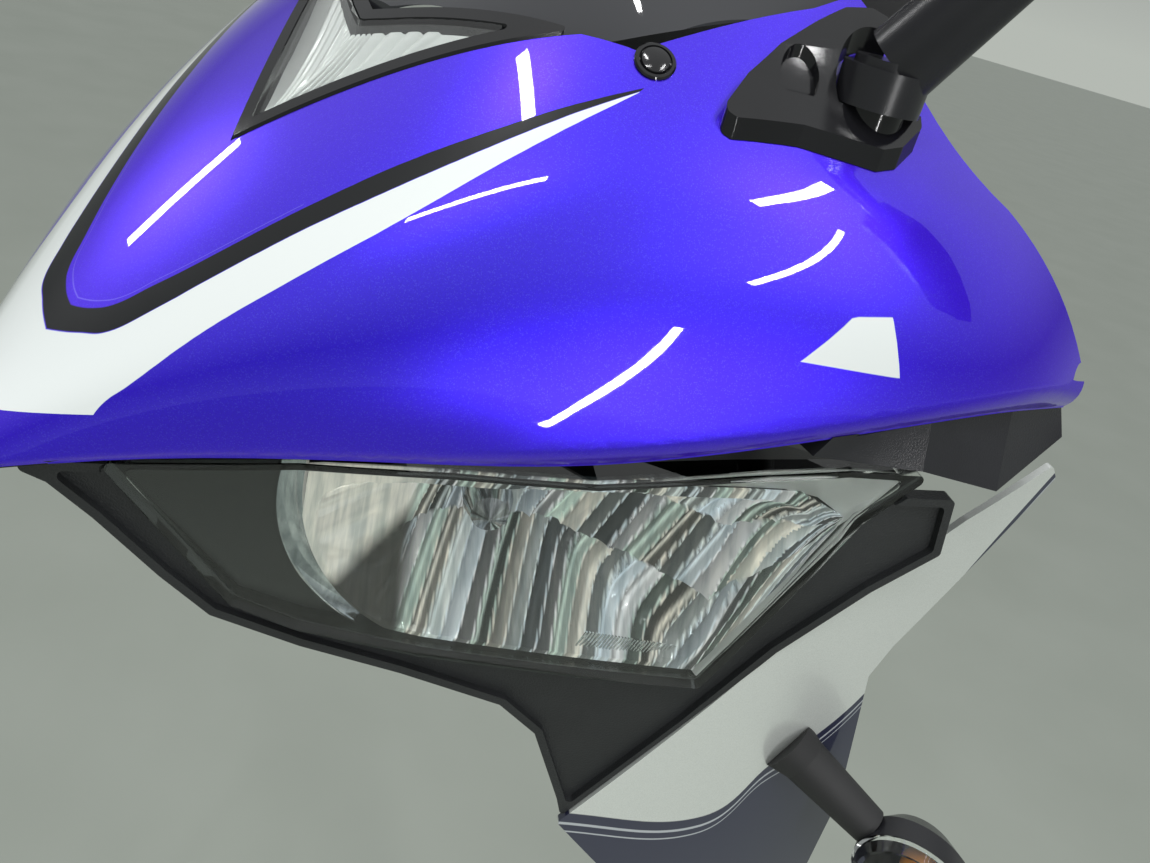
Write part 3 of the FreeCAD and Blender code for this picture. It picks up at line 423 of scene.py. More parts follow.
def chrome(name, dark, light, roughness, with_painted_reflections=False, metallic=1.0, **values):
    """Chrome with painted reflections: darker streaks up the lamp, and the mesh's own painted colours if
    asked.
    """
    made = material(name, metallic=metallic, roughness=roughness, **values)
    tree = made.node_tree
    # Darker streaks up the lamp, painted into the colour as painted reflections.
    stretched = zip(lamp_face(tree), (REFLECTION_STREAKS_ALONG, REFLECTION_STREAKS_UP, REFLECTION_STREAKS_UP))
    drawn = add(tree, "ShaderNodeCombineXYZ", enumerate(times(tree, *pair) for pair in stretched))
    streaks = noise(tree, drawn.outputs[0], 1.0, 3.0, 0.65)
    share = calc(tree, "MULTIPLY_ADD", streaks, REFLECTION_STREAKS_CONTRAST, 0.5 - 0.5 * REFLECTION_STREAKS_CONTRAST, clamp=True)
    painted_reflection = blend_colour(tree, share, dark, light)
    # Painted reflection colours from the mesh multiply the chrome, and glow as painted light through the
    # lens.
    if with_painted_reflections:
        reflection_tone = add(tree, "ShaderNodeAttribute", attribute_name="reflection_tone")
        painted_reflection = blend_colour(tree, 1.0, painted_reflection, reflection_tone.outputs["Color"])
        painted_reflection.node.blend_type = "MULTIPLY"
        feed(made, "Emission Color", painted_reflection)
    feed(made, "Base Color", painted_reflection)
    return made


chrome("lamp_chrome", (0.42, 0.45, 0.46, 1), (0.94, 0.97, 0.98, 1), 0.045)
fluted_chrome = chrome("fluted_chrome", (0.62, 0.66, 0.68, 1), (1.0, 1.0, 1.0, 1), 0.06, with_painted_reflections=True,
                       metallic=FLUTED_METAL, emission_strength=LENS_LIGHT)
chrome("bulb_shield", (0.15, 0.16, 0.17, 1), (0.75, 0.77, 0.80, 1), 0.12)
ring_chrome = chrome("ring_chrome", (0.65, 0.68, 0.70, 1), (0.95, 0.97, 0.98, 1), 0.06)
bezel_silver = grained("bezel_silver", (0.62, 0.64, 0.62, 1), (0.80, 0.82, 0.80, 1), 0.5, 0.04,
                       roughness=0.30, metallic=0.25)
print("chrome nodes", len(fluted_chrome.node_tree.nodes))

# %% [markdown]
# Behind its clear front each headlamp's lens has a skirt that is glued into the housing. The skirt is
# tinted black from just behind the glass. The tint goes by depth, so the lens stays one piece with one
# material.

# %% Headlamp glass
SKIRT_START = 1.2
SKIRT_FADE = 1.0
SKIRT_BLACK = (0.004, 0.005, 0.005, 1)
LENS_MIDDLE = (178.0, -7.0)
LENS_RADIUS = 1056.0
GLASS_BACK = 3.3

headlamp_glass = material("headlamp_glass", roughness=0.0, transmission_weight=1.0, ior=PLASTIC_IOR)
tree = headlamp_glass.node_tree
along, up_mm, behind = lamp_face(tree)
squares = [calc(tree, "POWER", calc(tree, "SUBTRACT", distance, middle), 2)
           for distance, middle in zip((along, up_mm), LENS_MIDDLE)]
inner_side = calc(tree, "MULTIPLY_ADD", calc(tree, "ADD", *squares), 1 / (2 * LENS_RADIUS),
                  GLASS_BACK + SKIRT_START)
skirt_dark = calc(tree, "DIVIDE", calc(tree, "SUBTRACT", behind, inner_side), SKIRT_FADE, clamp=True)
feed(headlamp_glass, "Base Color", blend_colour(tree, skirt_dark, LENS_CLEAR, SKIRT_BLACK))
print("headlamp glass nodes", len(tree.nodes))

# %% [markdown]
# The side cowls are pale silver with a pearl in the varnish. Low on each runs a dark blue band with two
# pale pinstripes, which follows the panel's lower edge. That edge is a curve over the headlamp's face, and
# it is moved up while it is looked up, because the curve's node knows nothing below zero. The band's dark
# blue is partly its own colour and partly painted shade.

# %% Silver side cowls
SILVER = (0.80, 0.83, 0.80, 1)
SILVER_PEARL = (0.92, 0.95, 0.92, 1)
BAND_BLUE_AND_SHADE = (0.020, 0.022, 0.060, 1)
PINSTRIPE = (0.55, 0.58, 0.62, 1)
SILVER_FOOT = ((200, -122), (219.6, -122.2), (275.5, -122.0), (296.0, -94.5), (308.5, -83.2), (327.8, -53.9),
               (329.0, -48.5), (400, 100))
PINSTRIPE_STEPS = ((5.0, 1.6), (9.5, 1.0))
PINSTRIPE_EDGE = 0.3
BAND_EDGE = 0.4
FOOT_SPANS = (400, 200)
FOOT_SHIFT = 200
PEARL_SCALE = 5.0
SILVER_METAL = 0.45
BAND_METAL = 0.10

silver_white = material("silver_white", metallic=SILVER_METAL, roughness=0.30, coat_weight=1.0,
                        coat_roughness=0.03)
tree = silver_white.node_tree
spot = nose_places(tree)[0]
along, up_mm, _ = lamp_face(tree)
pearl = add(tree, "ShaderNodeTexVoronoi", (("Vector", spot), ("Scale", PEARL_SCALE)))
pearl_shade = add(tree, "ShaderNodeSeparateColor", ((0, pearl.outputs["Color"]),)).outputs[0]
silver = blend_colour(tree, pearl_shade, SILVER, SILVER_PEARL)
lifted = [(distance, height + FOOT_SHIFT) for distance, height in SILVER_FOOT]
foot = line_curve(tree, along, FOOT_SPANS, lifted)
below = calc(tree, "SUBTRACT", calc(tree, "SUBTRACT", foot, FOOT_SHIFT), up_mm)
band = calc(tree, "DIVIDE", below, BAND_EDGE, clamp=True)
# The band: its own blue, darkened further as painted shade.
coloured = blend_colour(tree, band, silver, BAND_BLUE_AND_SHADE)
for start, wide in PINSTRIPE_STEPS:
    line = between(tree, below, start, start + wide, PINSTRIPE_EDGE)
    coloured = blend_colour(tree, line, coloured, PINSTRIPE)
feed(silver_white, "Base Color", coloured)
feed(silver_white, "Metallic", calc(tree, "MULTIPLY_ADD", band, BAND_METAL - SILVER_METAL, SILVER_METAL))
print("silver nodes", len(tree.nodes))

# %% [markdown]
# Now every solid gets its finish. Pieces that come in pairs share one, so the second table names them once.

# %% Materials on the solids
FINISHES = {
    "nose_cowl": "blue_paint", "windscreen": "smoked_screen", "position_lamp_body": "gloss_black",
    "position_lamp_reflector": "lamp_chrome", "position_lamp_lens": "clear_lens",
    "fairing_stay": "stay_black", "instrument": "textured_black",
}
SIDE_FINISHES = {
    "headlamp_lens": "headlamp_glass", "headlamp_housing": "textured_black",
    "headlamp_reflector": "lamp_chrome", "headlamp_mask": "mask_black", "headlamp_bulb": "bulb_shield",
    "lower_trim": "grained_black",
    "side_cowl": "silver_white", "winglet": "winglet_black", "mirror_base": "gloss_black",
    "mirror_arm": "satin_black", "mirror_head": "satin_black", "mirror_glass": "mirror_glass",
    "signal_stalk": "soft_rubber", "signal_housing": "satin_black", "signal_lens": "clear_lens",
    "signal_bulb": "amber_bulb",
}
for side, _ in SIDES:
    FINISHES.update({f"{name}_{side}": finish for name, finish in SIDE_FINISHES.items()})
for name, finish in FINISHES.items():
    nodes[name].data.materials.clear()
    nodes[name].data.materials.append(swatches[finish])
print(len(FINISHES), "solids have their materials")

# %% [markdown]
# Pieces that the solids don't show in full are built here from rows of points. A closed slab comes from
# a front and a back sheet of points, stitched round their rims, so that every piece is a real body with
# its faces outwards.


# %% Helpers for meshes
WELD_WITHIN = 1e-6


def weld(mesh, turn_out):
    """Joins the points of a mesh that meet, and turns its faces outwards if asked."""
    work = bmesh.new()
    work.from_mesh(mesh)
    bmesh.ops.remove_doubles(work, verts=work.verts, dist=WELD_WITHIN)
    if turn_out:
        bmesh.ops.recalc_face_normals(work, faces=work.faces)
    work.to_mesh(mesh)
    work.free()


def show(name, mesh, sharp, body="fairing"):
    """A mesh as a piece that rides on a body; edges sharper than an angle stay crisp."""
    mesh.shade_smooth()
    mesh.set_sharp_from_angle(angle=math.radians(sharp))
    piece = into_scene(name, mesh)
    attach(piece, body)
    print(name, len(mesh.polygons), "faces")
    return piece


def build(name, points, faces, made, sharp=28, reflection_tones=None):
    """A piece from points and faces, with a painted reflection colour for each point if given."""
    mesh = bpy.data.meshes.new(name)
    mesh.from_pydata([tuple(point) for point in points], [], faces)
    if reflection_tones is not None:
        layer = mesh.color_attributes.new("reflection_tone", "FLOAT_COLOR", "POINT")
        layer.data.foreach_set("color", np.column_stack([reflection_tones, np.ones(len(reflection_tones))]).ravel())
    weld(mesh, turn_out=True)
    mesh.materials.append(made)
    return show(name, mesh, sharp)


def slab(front, back):
    """Points and faces of a closed slab between two sheets of points, each rows by columns by 3."""
    rows, columns = front.shape[:2]
    points = np.concatenate([front.reshape(-1, 3), back.reshape(-1, 3)])
    number = np.arange(rows * columns).reshape(rows, columns).tolist()
    to_back = rows * columns
    faces = []
    for row in range(rows - 1):
        for column in range(columns - 1):
            corners = [number[row][column], number[row][column + 1], number[row + 1][column + 1],
                       number[row + 1][column]]
            faces.append(corners)
            faces.append([corner + to_back for corner in reversed(corners)])
    rim = number[0] + [row[-1] for row in number[1:]] + number[-1][-2::-1]
    rim += [row[0] for row in number[-2:0:-1]]
    for start, end in zip(rim, rim[1:] + rim[:1]):
        faces.append([end, start, start + to_back, end + to_back])
    return points, faces


# %% [markdown]
# Each headlamp has its own flat face, turned back from straight across. Its pieces are drawn along
# that face, up it and behind it, and one helper places them on either side of the bike.


# %% Places on a headlamp's face
def lamp_places(sign, along, up, depth):
    """Points from distances along, up and behind a lamp's face, in scene metres."""
    along, up, depth = np.broadcast_arrays(along, up, depth)
    x = along * math.cos(LAMP_TURN) - depth * math.sin(LAMP_TURN)
    y = along * math.sin(LAMP_TURN) + depth * math.cos(LAMP_TURN)
    return np.stack([sign * x, y - NOSE_REACH, up + NOSE_RISE], axis=-1) / 1000


def behind_glass(along, up):
    """Depth of the lens's inner side, which bulges like a very large ball."""
    return GLASS_BACK + ((along - LENS_MIDDLE[0]) ** 2 + (up - LENS_MIDDLE[1]) ** 2) / (2 * LENS_RADIUS)


def on_circle(circle, turn):
    """A point of a circle, which is given by its middle and radius; the turn is in degrees."""
    turn = math.radians(turn)
    return np.array([circle[0] + circle[2] * math.cos(turn), circle[1] + circle[2] * math.sin(turn)])


def lamp_slab(name, side, sign, sheet, thick, made, sharp=28, reflection_tones=None):
    """A bright piece in one lamp, from a sheet of distances along, up and behind its face."""
    along, up, depth = sheet
    points, faces = slab(lamp_places(sign, along, up, depth), lamp_places(sign, along, up, depth + thick))
    return build(f"{name}_{side}", points, faces, made, sharp, reflection_tones)


# %% [markdown]
# The reflector is a deep bowl round the bulb. It is one sheet of points between the bowl's upper and lower
# edges. Its depth falls off from the bulb's axis to the edge, by a gauge that knows the bowl's outline.

# %% Bowl of a reflector
BOWL_ENDS = (108.0, 283.0)
BOWL_TOP = ((104, 10.5), (112, 12.6), (135, 16), (171, 19.0), (194, 20.5), (222, 24.5), (244, 26.5),
            (264, 27.5), (283, 19.5))
BOWL_RING = (164.2, 7.9, 57.5)
BOWL_FOOT = ((104, -38), (112, -40.3), (151, -45.4), (188, -47.2), (217, -48.6), (249, -50.2))
BOWL_RIGHT = ((249, -50.2), (264, -19.5), (281, 12.5), (283, 19.5))
BOWL_EDGE = ((108, 6), (116, 13), (171, 19), (222, 24.5), (264, 27.5), (283, 19.5), (264, -19.5),
             (249, -50.2), (188, -47.2), (136, -44), (115, -25), (107, -5))
BULB_AXIS = (170.0, -13.0)
BOWL_DEEP = 66.0
BOWL_RIM = 3.2
BOWL_POWER = 1.45
BOWL_WALL = 1.0
EDGE_ROUND = 10
FLUTES = 32
FLUTE_COLUMNS = 9
FLUTE_ROWS = (0.0, 0.36, 0.68, 1.0)
ROW_POINTS = 15
ROW_GAP = 0.002


def bowl_gauge(along, up):
    """0 at the bulb's axis, 1 on the bowl's edge, rising evenly along each line from the axis."""
    total = 0
    for (x0, z0), (x1, z1) in zip(BOWL_EDGE, BOWL_EDGE[1:] + BOWL_EDGE[:1]):
        normal = (-(z1 - z0), x1 - x0)
        reach = normal[0] * (x0 - BULB_AXIS[0]) + normal[1] * (z0 - BULB_AXIS[1])
        share = (normal[0] * (along - BULB_AXIS[0]) + normal[1] * (up - BULB_AXIS[1])) / reach
        total = total + np.maximum(share, 0) ** EDGE_ROUND
    return np.minimum(total ** (1 / EDGE_ROUND), 1)


rows = [np.linspace(low + ROW_GAP, high - ROW_GAP, ROW_POINTS)
        for low, high in zip(FLUTE_ROWS, FLUTE_ROWS[1:])]
u, v = np.meshgrid(np.linspace(0, 1, FLUTES * FLUTE_COLUMNS + 1), np.concatenate(rows))
along = BOWL_ENDS[0] + u * (BOWL_ENDS[1] - BOWL_ENDS[0])
top = np.interp(along, *zip(*BOWL_TOP))
foot = np.interp(along, *zip(*BOWL_FOOT))
foot = np.where(along > BOWL_RIGHT[0][0], np.interp(along, *zip(*BOWL_RIGHT)), foot)
ring_x, ring_z, ring_radius = BOWL_RING
inside_ring = np.sqrt(np.maximum(ring_radius ** 2 - (along - ring_x) ** 2, 0))
foot = np.where(along < ring_x, np.maximum(foot, ring_z - inside_ring), foot)
up = foot + v * (top - foot)
gauge = bowl_gauge(along, up)
rim = behind_glass(along, up) + BOWL_RIM
bowl = rim + (BOWL_DEEP - rim) * (1 - gauge ** BOWL_POWER)
print("bowl of", bowl.size, "points, up to", round(float(bowl.max()), 1), "mm deep")

# %% [markdown]
# The bowl's inner end, beside the mask, is smooth. From there outwards it is cut into three rows of slanted
# flutes, each a shallow trough turned its own way, which break the light into strips. They are real steps
# in the sheet and not a bump, so the pictures in them shift as the eye moves past the lamp.

# %% Flutes
FLUTE_LEAN = 0.20
FLUTE_DEEP = 1.5
FLUTE_START = 0.19
FLUTE_FADE = 0.03
EDGE_FADE = 0.06
SPARE_FLUTES = 5
FIRST_FLUTE = 2
FACET_SWING = 4.0
FACET_TIP = 3.4
FACET_SEED = 11

facets = (len(FLUTE_ROWS) - 1, FLUTES + SPARE_FLUTES, 2)
facet_turns = np.random.default_rng(FACET_SEED).uniform(-1, 1, facets)
band = np.searchsorted(FLUTE_ROWS, v, side="right") - 1
phase = (u + FLUTE_LEAN * (0.5 - v)) * FLUTES + 0.5 * (band % 2) + FIRST_FLUTE
flute = np.clip(np.floor(phase).astype(int), 0, FLUTES + SPARE_FLUTES - 1)
across = phase - np.floor(phase) - 0.5
rise = (v - np.array(FLUTE_ROWS)[band]) / np.diff(FLUTE_ROWS)[band] - 0.5
swing, tip = np.moveaxis(facet_turns[band, flute], -1, 0)
trough = FLUTE_DEEP * (4 * across ** 2 - 1) + FACET_SWING * swing * across + FACET_TIP * tip * rise
past_start = np.clip((u - FLUTE_START) / FLUTE_FADE, 0, 1)
fluted = bowl - trough * (past_start * np.clip((1 - gauge) / EDGE_FADE, 0, 1))
print("flutes up to", round(float(np.abs(fluted - bowl).max()), 1), "mm off the bowl")

# %% [markdown]
# A real reflector shows a room in pieces, pale in one facet and dark in the next, and a plain studio has too
# little in it for that. So reflections are painted in: each facet gets its own painted shade and colour, a
# thin painted highlight along it and painted highlights on its edges, and the smooth hollow gets painted
# shade below and a pale painted reflection above. They are colours on the mesh's points, which the chrome is
# multiplied by.

# %% Painted reflections on the facets
FACET_REFLECTION_TONES = (0.62, 0.15, 0.42, 0.06, 0.75, 0.24, 0.55, 0.09, 0.36, 0.16, 0.82)
FACET_REFLECTION_TINTS = ((1.0, 1.0, 1.0), (1.0, 0.95, 0.83), (0.86, 0.95, 1.0), (0.72, 0.86, 0.76), (0.94, 1.0, 0.97))
REFLECTION_TONE_STEPS = (5, 3)
REFLECTION_TINT_STEPS = (3, 1)
REFLECTION_TONE_ACROSS = (0.75, 0.6)
PAINTED_GLINT_WIDTH = 0.10
PAINTED_GLINT_SHIFT = 0.33
PAINTED_GLINT_FROM = -0.35
PAINTED_GLINT_TONE = 0.9
FLUTE_EDGE = 0.44
EDGE_PAINTED_HIGHLIGHT = 0.97
HOLLOW_REFLECTION_TINT = (1.0, 0.97, 0.86)
HOLLOW_SHADE_LINE = (-14.0, 0.35)
HOLLOW_SHADE_FADE = 6
HOLLOW_SHADE_TONES = (0.05, 0.75)

# Painted reflections: a shade and colour for each facet, and a painted highlight along it and on its edges.
shade = np.array(FACET_REFLECTION_TONES)[(flute * REFLECTION_TONE_STEPS[0] + band * REFLECTION_TONE_STEPS[1]) % len(FACET_REFLECTION_TONES)]
painted_glint = np.exp(-((across - PAINTED_GLINT_SHIFT * swing) / PAINTED_GLINT_WIDTH) ** 2) * (tip > PAINTED_GLINT_FROM)
shade = np.minimum(shade * (REFLECTION_TONE_ACROSS[0] + REFLECTION_TONE_ACROSS[1] * across) + PAINTED_GLINT_TONE * painted_glint, 1)
shade = np.where(np.abs(across) > FLUTE_EDGE, EDGE_PAINTED_HIGHLIGHT, shade)
tint = np.array(FACET_REFLECTION_TINTS)[(flute * REFLECTION_TINT_STEPS[0] + band * REFLECTION_TINT_STEPS[1]) % len(FACET_REFLECTION_TINTS)]
facet_reflection = shade[..., None] * tint
# Painted shade low in the smooth hollow, and a pale painted reflection above it.
hollow = np.clip((up - HOLLOW_SHADE_LINE[0] - HOLLOW_SHADE_LINE[1] * (along - ring_x)) / HOLLOW_SHADE_FADE, 0, 1)
hollow_painted_shade = (HOLLOW_SHADE_TONES[0] + HOLLOW_SHADE_TONES[1] * hollow)[..., None] * np.array(HOLLOW_REFLECTION_TINT)
share = past_start[..., None]
reflection_tones = (facet_reflection * share + hollow_painted_shade * (1 - share)).reshape(-1, 3)
for side, sign in SIDES:
    reflector = lamp_slab("fluted_reflector", side, sign, (along, up, fluted), BOWL_WALL, fluted_chrome,
                          reflection_tones=np.concatenate([reflection_tones, reflection_tones]))
    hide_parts(f"headlamp_reflector_{side}")

# %% [markdown]
# A bright double ring borders the bowl where the black mask begins. It runs between two circles with
# different middles, so it is widest at its inner end and closes towards the foot of the lamp. Its section
# is a row of shares and depths, as a turner would draw it.

# %% Rings beside the masks
RING_OUTER = (152.0, 3.5, 53.0)
RING_INNER = (164.2, 7.9, 56.0)
RING_PROFILE = ((0.0, 13.6), (0.02, 10.0), (0.08, 9.2), (0.16, 10.6), (0.24, 15.5), (0.45, 18.0),
                (0.66, 16.5), (0.78, 12.0), (0.86, 10.6), (0.94, 11.2), (1.0, 14.0))
RING_START = (169.5, 172.5)
RING_END = (243.5, 251.0)
RING_STEPS = 61
RING_THICK = 1.2

ring = []
for step in np.linspace(0, 1, RING_STEPS):
    turns = [start + step * (end - start) for start, end in zip(RING_START, RING_END)]
    outer, inner = on_circle(RING_OUTER, turns[0]), on_circle(RING_INNER, turns[1])
    ring.append([(*(outer + share * (inner - outer)), depth) for share, depth in RING_PROFILE])
for side, sign in SIDES:
    lamp_slab("lamp_ring", side, sign, np.moveaxis(np.array(ring), -1, 0), RING_THICK, ring_chrome, sharp=60)

# %% [markdown]
# The inner end of each lamp is closed by a dark satin mask. It is a flat plate, cut round to meet the ring.

# %% Masks
MASK_DEPTH = 11.6
MASK_THICK = 1.6
MASK_CORNERS = ((53.6, 3.7), (99.9, 12.0))
MASK_FOOT = ((128.6, -42.9), (111.5, -40.9), (91.6, -35.4))
MASK_STEPS = 25
MASK_GAP = 0.4

mask_circle = (RING_OUTER[0], RING_OUTER[1], RING_OUTER[2] - MASK_GAP)
arc = [on_circle(mask_circle, turn) for turn in np.linspace(RING_START[0], RING_END[0], MASK_STEPS)]
border = np.array([*MASK_CORNERS, *arc[1:-1], *MASK_FOOT])
count = len(border)
faces = [list(range(count)), [count + number for number in reversed(range(count))]]
faces += [[n, (n + 1) % count, (n + 1) % count + count, n + count] for n in range(count)]
for side, sign in SIDES:
    points = [lamp_places(sign, *border.T, depth) for depth in (MASK_DEPTH, MASK_DEPTH + MASK_THICK)]
    mask = build(f"lamp_mask_{side}", np.concatenate(points), faces, swatches["mask_black"])
    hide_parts(f"headlamp_mask_{side}")

# %% [markdown]
# At its outer end the bowl sits in a pale satin bezel, broad at the top corner and thin down the side. It
# is drawn by pairs of places on its inner and outer edges, and sinks towards the bowl.

# %% Bezels
BEZEL = (
    # inner along, inner up, outer along, outer up
    (214, 23.2, 216, 25.2), (230, 25.6, 236, 29.6), (244, 26.6, 250, 33.2), (258, 27.4, 268, 35.6),
    (271, 25.6, 286, 36.6), (281, 20.2, 297, 36.2), (282.6, 19.0, 285.4, 20.2), (280.6, 12.0, 283.4, 12.8),
    (271.5, -4.0, 274.3, -3.4), (263.6, -19.5, 266.4, -19.0), (256.0, -35.0, 258.8, -34.5),
    (248.8, -50.4, 250.6, -50.9),
)
BEZEL_COLUMNS = 7
BEZEL_BEHIND = 1.0
BEZEL_SINK = 3.4
BEZEL_THICK = 1.0

out = np.linspace(0, 1, BEZEL_COLUMNS)
bezel = []
for inner_along, inner_up, outer_along, outer_up in BEZEL:
    along = inner_along + out * (outer_along - inner_along)
    up = inner_up + out * (outer_up - inner_up)
    sink = BEZEL_BEHIND + BEZEL_SINK * (1 - out) ** 2
    bezel.append([along, up, behind_glass(along, up) + sink])
for side, sign in SIDES:
    lamp_slab("lamp_bezel", side, sign, np.stack(bezel, axis=1), BEZEL_THICK, bezel_silver, sharp=40)

# %% [markdown]
# Streaks of light show every ripple of a gloss panel, and the solid's mesh is made of long thin
# triangles. A polished mould has none, so the cowl's copy keeps the solid's points but gets its
# normals from the skin around them. They are gathered by rays that fall on the skin from outside towards
# a line under the cowl. They are averaged over about a centimetre, and over more than two centimetres on
# the flank, where the long streak runs.

# %% Even normals of the cowl's skin
SKIN_AXIS_Z = -20.0
SKIN_BACK = 316
SKIN_TURN = 86
SKIN_STEP_Y = 2.0
SKIN_STEP_TURN = 1.0
SKIN_EVEN = (11.0 / SKIN_STEP_Y, 5.0 / SKIN_STEP_TURN)
SKIN_REACH = 0.45
SKIN_OUTWARDS = 0.25
WIDE_TIMES = 2.4
WIDE_PLACE = (150.0, 57.0)
WIDE_SPAN = (26.0, 16.0)
WIDE_SHARE = 1.3
TOO_SHORT = 1e-9


def ray_tree(mesh):
    """A mesh's faces, sorted so that rays find them fast."""
    return BVHTree.FromPolygons([v.co for v in mesh.vertices], [p.vertices for p in mesh.polygons])


def unit(vectors):
    """Vectors of length one."""
    return vectors / np.maximum(np.linalg.norm(vectors, axis=-1, keepdims=True), TOO_SHORT)


def soften(field, sigma, axis):
    """A Gaussian average along one axis; sigma is in steps."""
    reach = int(3 * sigma)
    weights = np.exp(-0.5 * (np.arange(-reach, reach + 1) / sigma) ** 2)
    padded = np.pad(field, [(reach, reach) if n == axis else (0, 0) for n in range(field.ndim)], mode="edge")
    places = [range(n, n + field.shape[axis]) for n in range(len(weights))]
    return sum(w * np.take(padded, run, axis=axis) for w, run in zip(weights, places)) / weights.sum()


skin_tree = ray_tree(nodes["nose_cowl"].data)
row_places = np.arange(0, SKIN_BACK, SKIN_STEP_Y)
turns = np.arange(-SKIN_TURN, SKIN_TURN + SKIN_STEP_TURN / 2, SKIN_STEP_TURN)
normals = np.zeros((len(row_places), len(turns), 3))
radii = np.zeros((len(row_places), len(turns)))
for row, y in enumerate(row_places):
    for column, turn in enumerate(turns):
        way = Vector((math.sin(math.radians(turn)), 0, math.cos(math.radians(turn))))
        start = place(0, y, SKIN_AXIS_Z) + way * SKIN_REACH
        spot, normal, _, length = skin_tree.ray_cast(start, -way, SKIN_REACH)
        if spot is not None and normal.dot(way) > SKIN_OUTWARDS:
            normals[row, column] = normal
            radii[row, column] = (SKIN_REACH - length) * 1000
even, wide = [unit(soften(soften(normals, SKIN_EVEN[0] * times, 0), SKIN_EVEN[1] * times, 1))
              for times in (1, WIDE_TIMES)]
away_y = (row_places[:, None] - WIDE_PLACE[0]) / WIDE_SPAN[0]
away_turn = (np.abs(turns)[None, :] - WIDE_PLACE[1]) / WIDE_SPAN[1]
flank = np.minimum(WIDE_SHARE * np.exp(-0.5 * (away_y ** 2 + away_turn ** 2)), 1)[..., None]
even = even * (1 - flank) + wide * flank
even = unit(even + even[:, ::-1] * np.array([-1, 1, 1]))
print("skin met by", int((radii > 0).sum()), "of", radii.size, "rays")

# %% [markdown]
# The even normals are written on the corners of the copy's faces. A corner keeps its own normal where the
# two disagree, as on the cowl's rims and inside it, so that its edges stay crisp.

# %% Cowl with even normals
COWL_SHARP = 30
SKIN_NEAR = 4.0
KEEP_BELOW = 0.90
EVEN_ABOVE = 0.975
LAST_SHARE = 1.001

skin = nodes["nose_cowl"].data.copy()
weld(skin, turn_out=False)
skin.shade_smooth()
skin.set_sharp_from_angle(angle=math.radians(COWL_SHARP))
corner_points = np.empty(len(skin.loops), dtype=np.int32)
skin.loops.foreach_get("vertex_index", corner_points)
spots = np.empty(len(skin.vertices) * 3)
skin.vertices.foreach_get("co", spots)
spots = spots.reshape(-1, 3) * 1000 + np.array([0, NOSE_REACH, -NOSE_RISE])
corner_normals = np.empty(len(skin.loops) * 3, dtype=np.float32)
skin.corner_normals.foreach_get("vector", corner_normals)
corner_normals = corner_normals.reshape(-1, 3)
height = spots[:, 2] - SKIN_AXIS_Z
turn_of = np.degrees(np.arctan2(spots[:, 0], height))
across = np.clip((turn_of - turns[0]) / SKIN_STEP_TURN, 0, len(turns) - LAST_SHARE)
down = np.clip(spots[:, 1] / SKIN_STEP_Y, 0, len(row_places) - LAST_SHARE)
i, j = down.astype(int), across.astype(int)
fi, fj = (down - i)[:, None], (across - j)[:, None]
wanted, near_radius = 0, 0
for to_j, share_j in ((0, 1 - fj), (1, fj)):
    for to_i, share_i in ((0, 1 - fi), (1, fi)):
        wanted = wanted + even[i + to_i, j + to_j] * share_i * share_j
        near_radius = np.maximum(near_radius, radii[i + to_i, j + to_j])
wanted = unit(wanted)[corner_points]
near_skin = np.abs(np.hypot(spots[:, 0], height) - near_radius) < SKIN_NEAR
agree = (wanted * corner_normals).sum(axis=1)
weight = np.clip((agree - KEEP_BELOW) / (EVEN_ABOVE - KEEP_BELOW), 0, 1) * near_skin[corner_points]
mixed = unit(corner_normals * (1 - weight[:, None]) + wanted * weight[:, None])
skin.normals_split_custom_set(mixed.tolist())
skin.materials.clear()
skin.materials.append(paint)
cowl_skin = into_scene("cowl_skin", skin)
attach(cowl_skin, "fairing")
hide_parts("nose_cowl")
print("corners evened", int((weight > 0.5).sum()), "of", len(weight))

# %% [markdown]
# The position lamp is a small clear window at the front of the crown. Under it lies a bright tray whose
# flutes fan out from its front corner. Its surface hangs a few millimetres under the lens, so plumb
# lines down on the lens say how high each point may be.

# %% Position lamp tray
TRAY_FRONT = (0.0, 103.0)
TRAY_TOP = ((0.0, 132.5), (7.0, 135.5), (30.0, 147.0), (50.5, 157.0))
TRAY_STEPS = (97, 29)
TRAY_START = 0.02
TRAY_UNDER = 4.6
TRAY_BOWL = 7.0
TRAY_SHALLOW = 0.35
TRAY_DEEPENS = 3
TRAY_OVER = 1
TRAY_FLUTES = 8
TRAY_FAN = 0.62
TRAY_FLAT = (0.15, 0.2)
TRAY_RIDGE = 1.65
TRAY_THICK = 0.001
TRAY_FALLBACK = (0.66, 26.0)
TRAY_PAINTED_GLOW = (0.85, 0.88, 0.86, 1)
TRAY_PAINTED_GLOW_SHARE = 0.5
PLUMB_FROM = 300

lens_tree = ray_tree(nodes["position_lamp_lens"].data)
# The tray glows faintly: painted light that stands for the light that comes in through the lens.
tray_silver = grained("tray_silver", (0.74, 0.77, 0.74, 1), (0.88, 0.90, 0.88, 1), 0.5, 0.02,
                      roughness=0.16, metallic=0.55, emission_color=TRAY_PAINTED_GLOW,
                      emission_strength=TRAY_PAINTED_GLOW_SHARE * LENS_LIGHT)


def plumb(tree, x, y):
    """Where a plumb line at a place in the top view meets a skin, and the skin's normal there."""
    return tree.ray_cast(place(x, y, PLUMB_FROM), Vector((0, 0, -1)))[:2]


def tray_limit(x, y):
    """Height of the tray without its bowl and ridges, in millimetres above the nose tip."""
    spot, _ = plumb(lens_tree, x, y)
    lens = TRAY_FALLBACK[0] * y + TRAY_FALLBACK[1] if spot is None else spot.z * 1000 - NOSE_RISE
    return lens - TRAY_UNDER


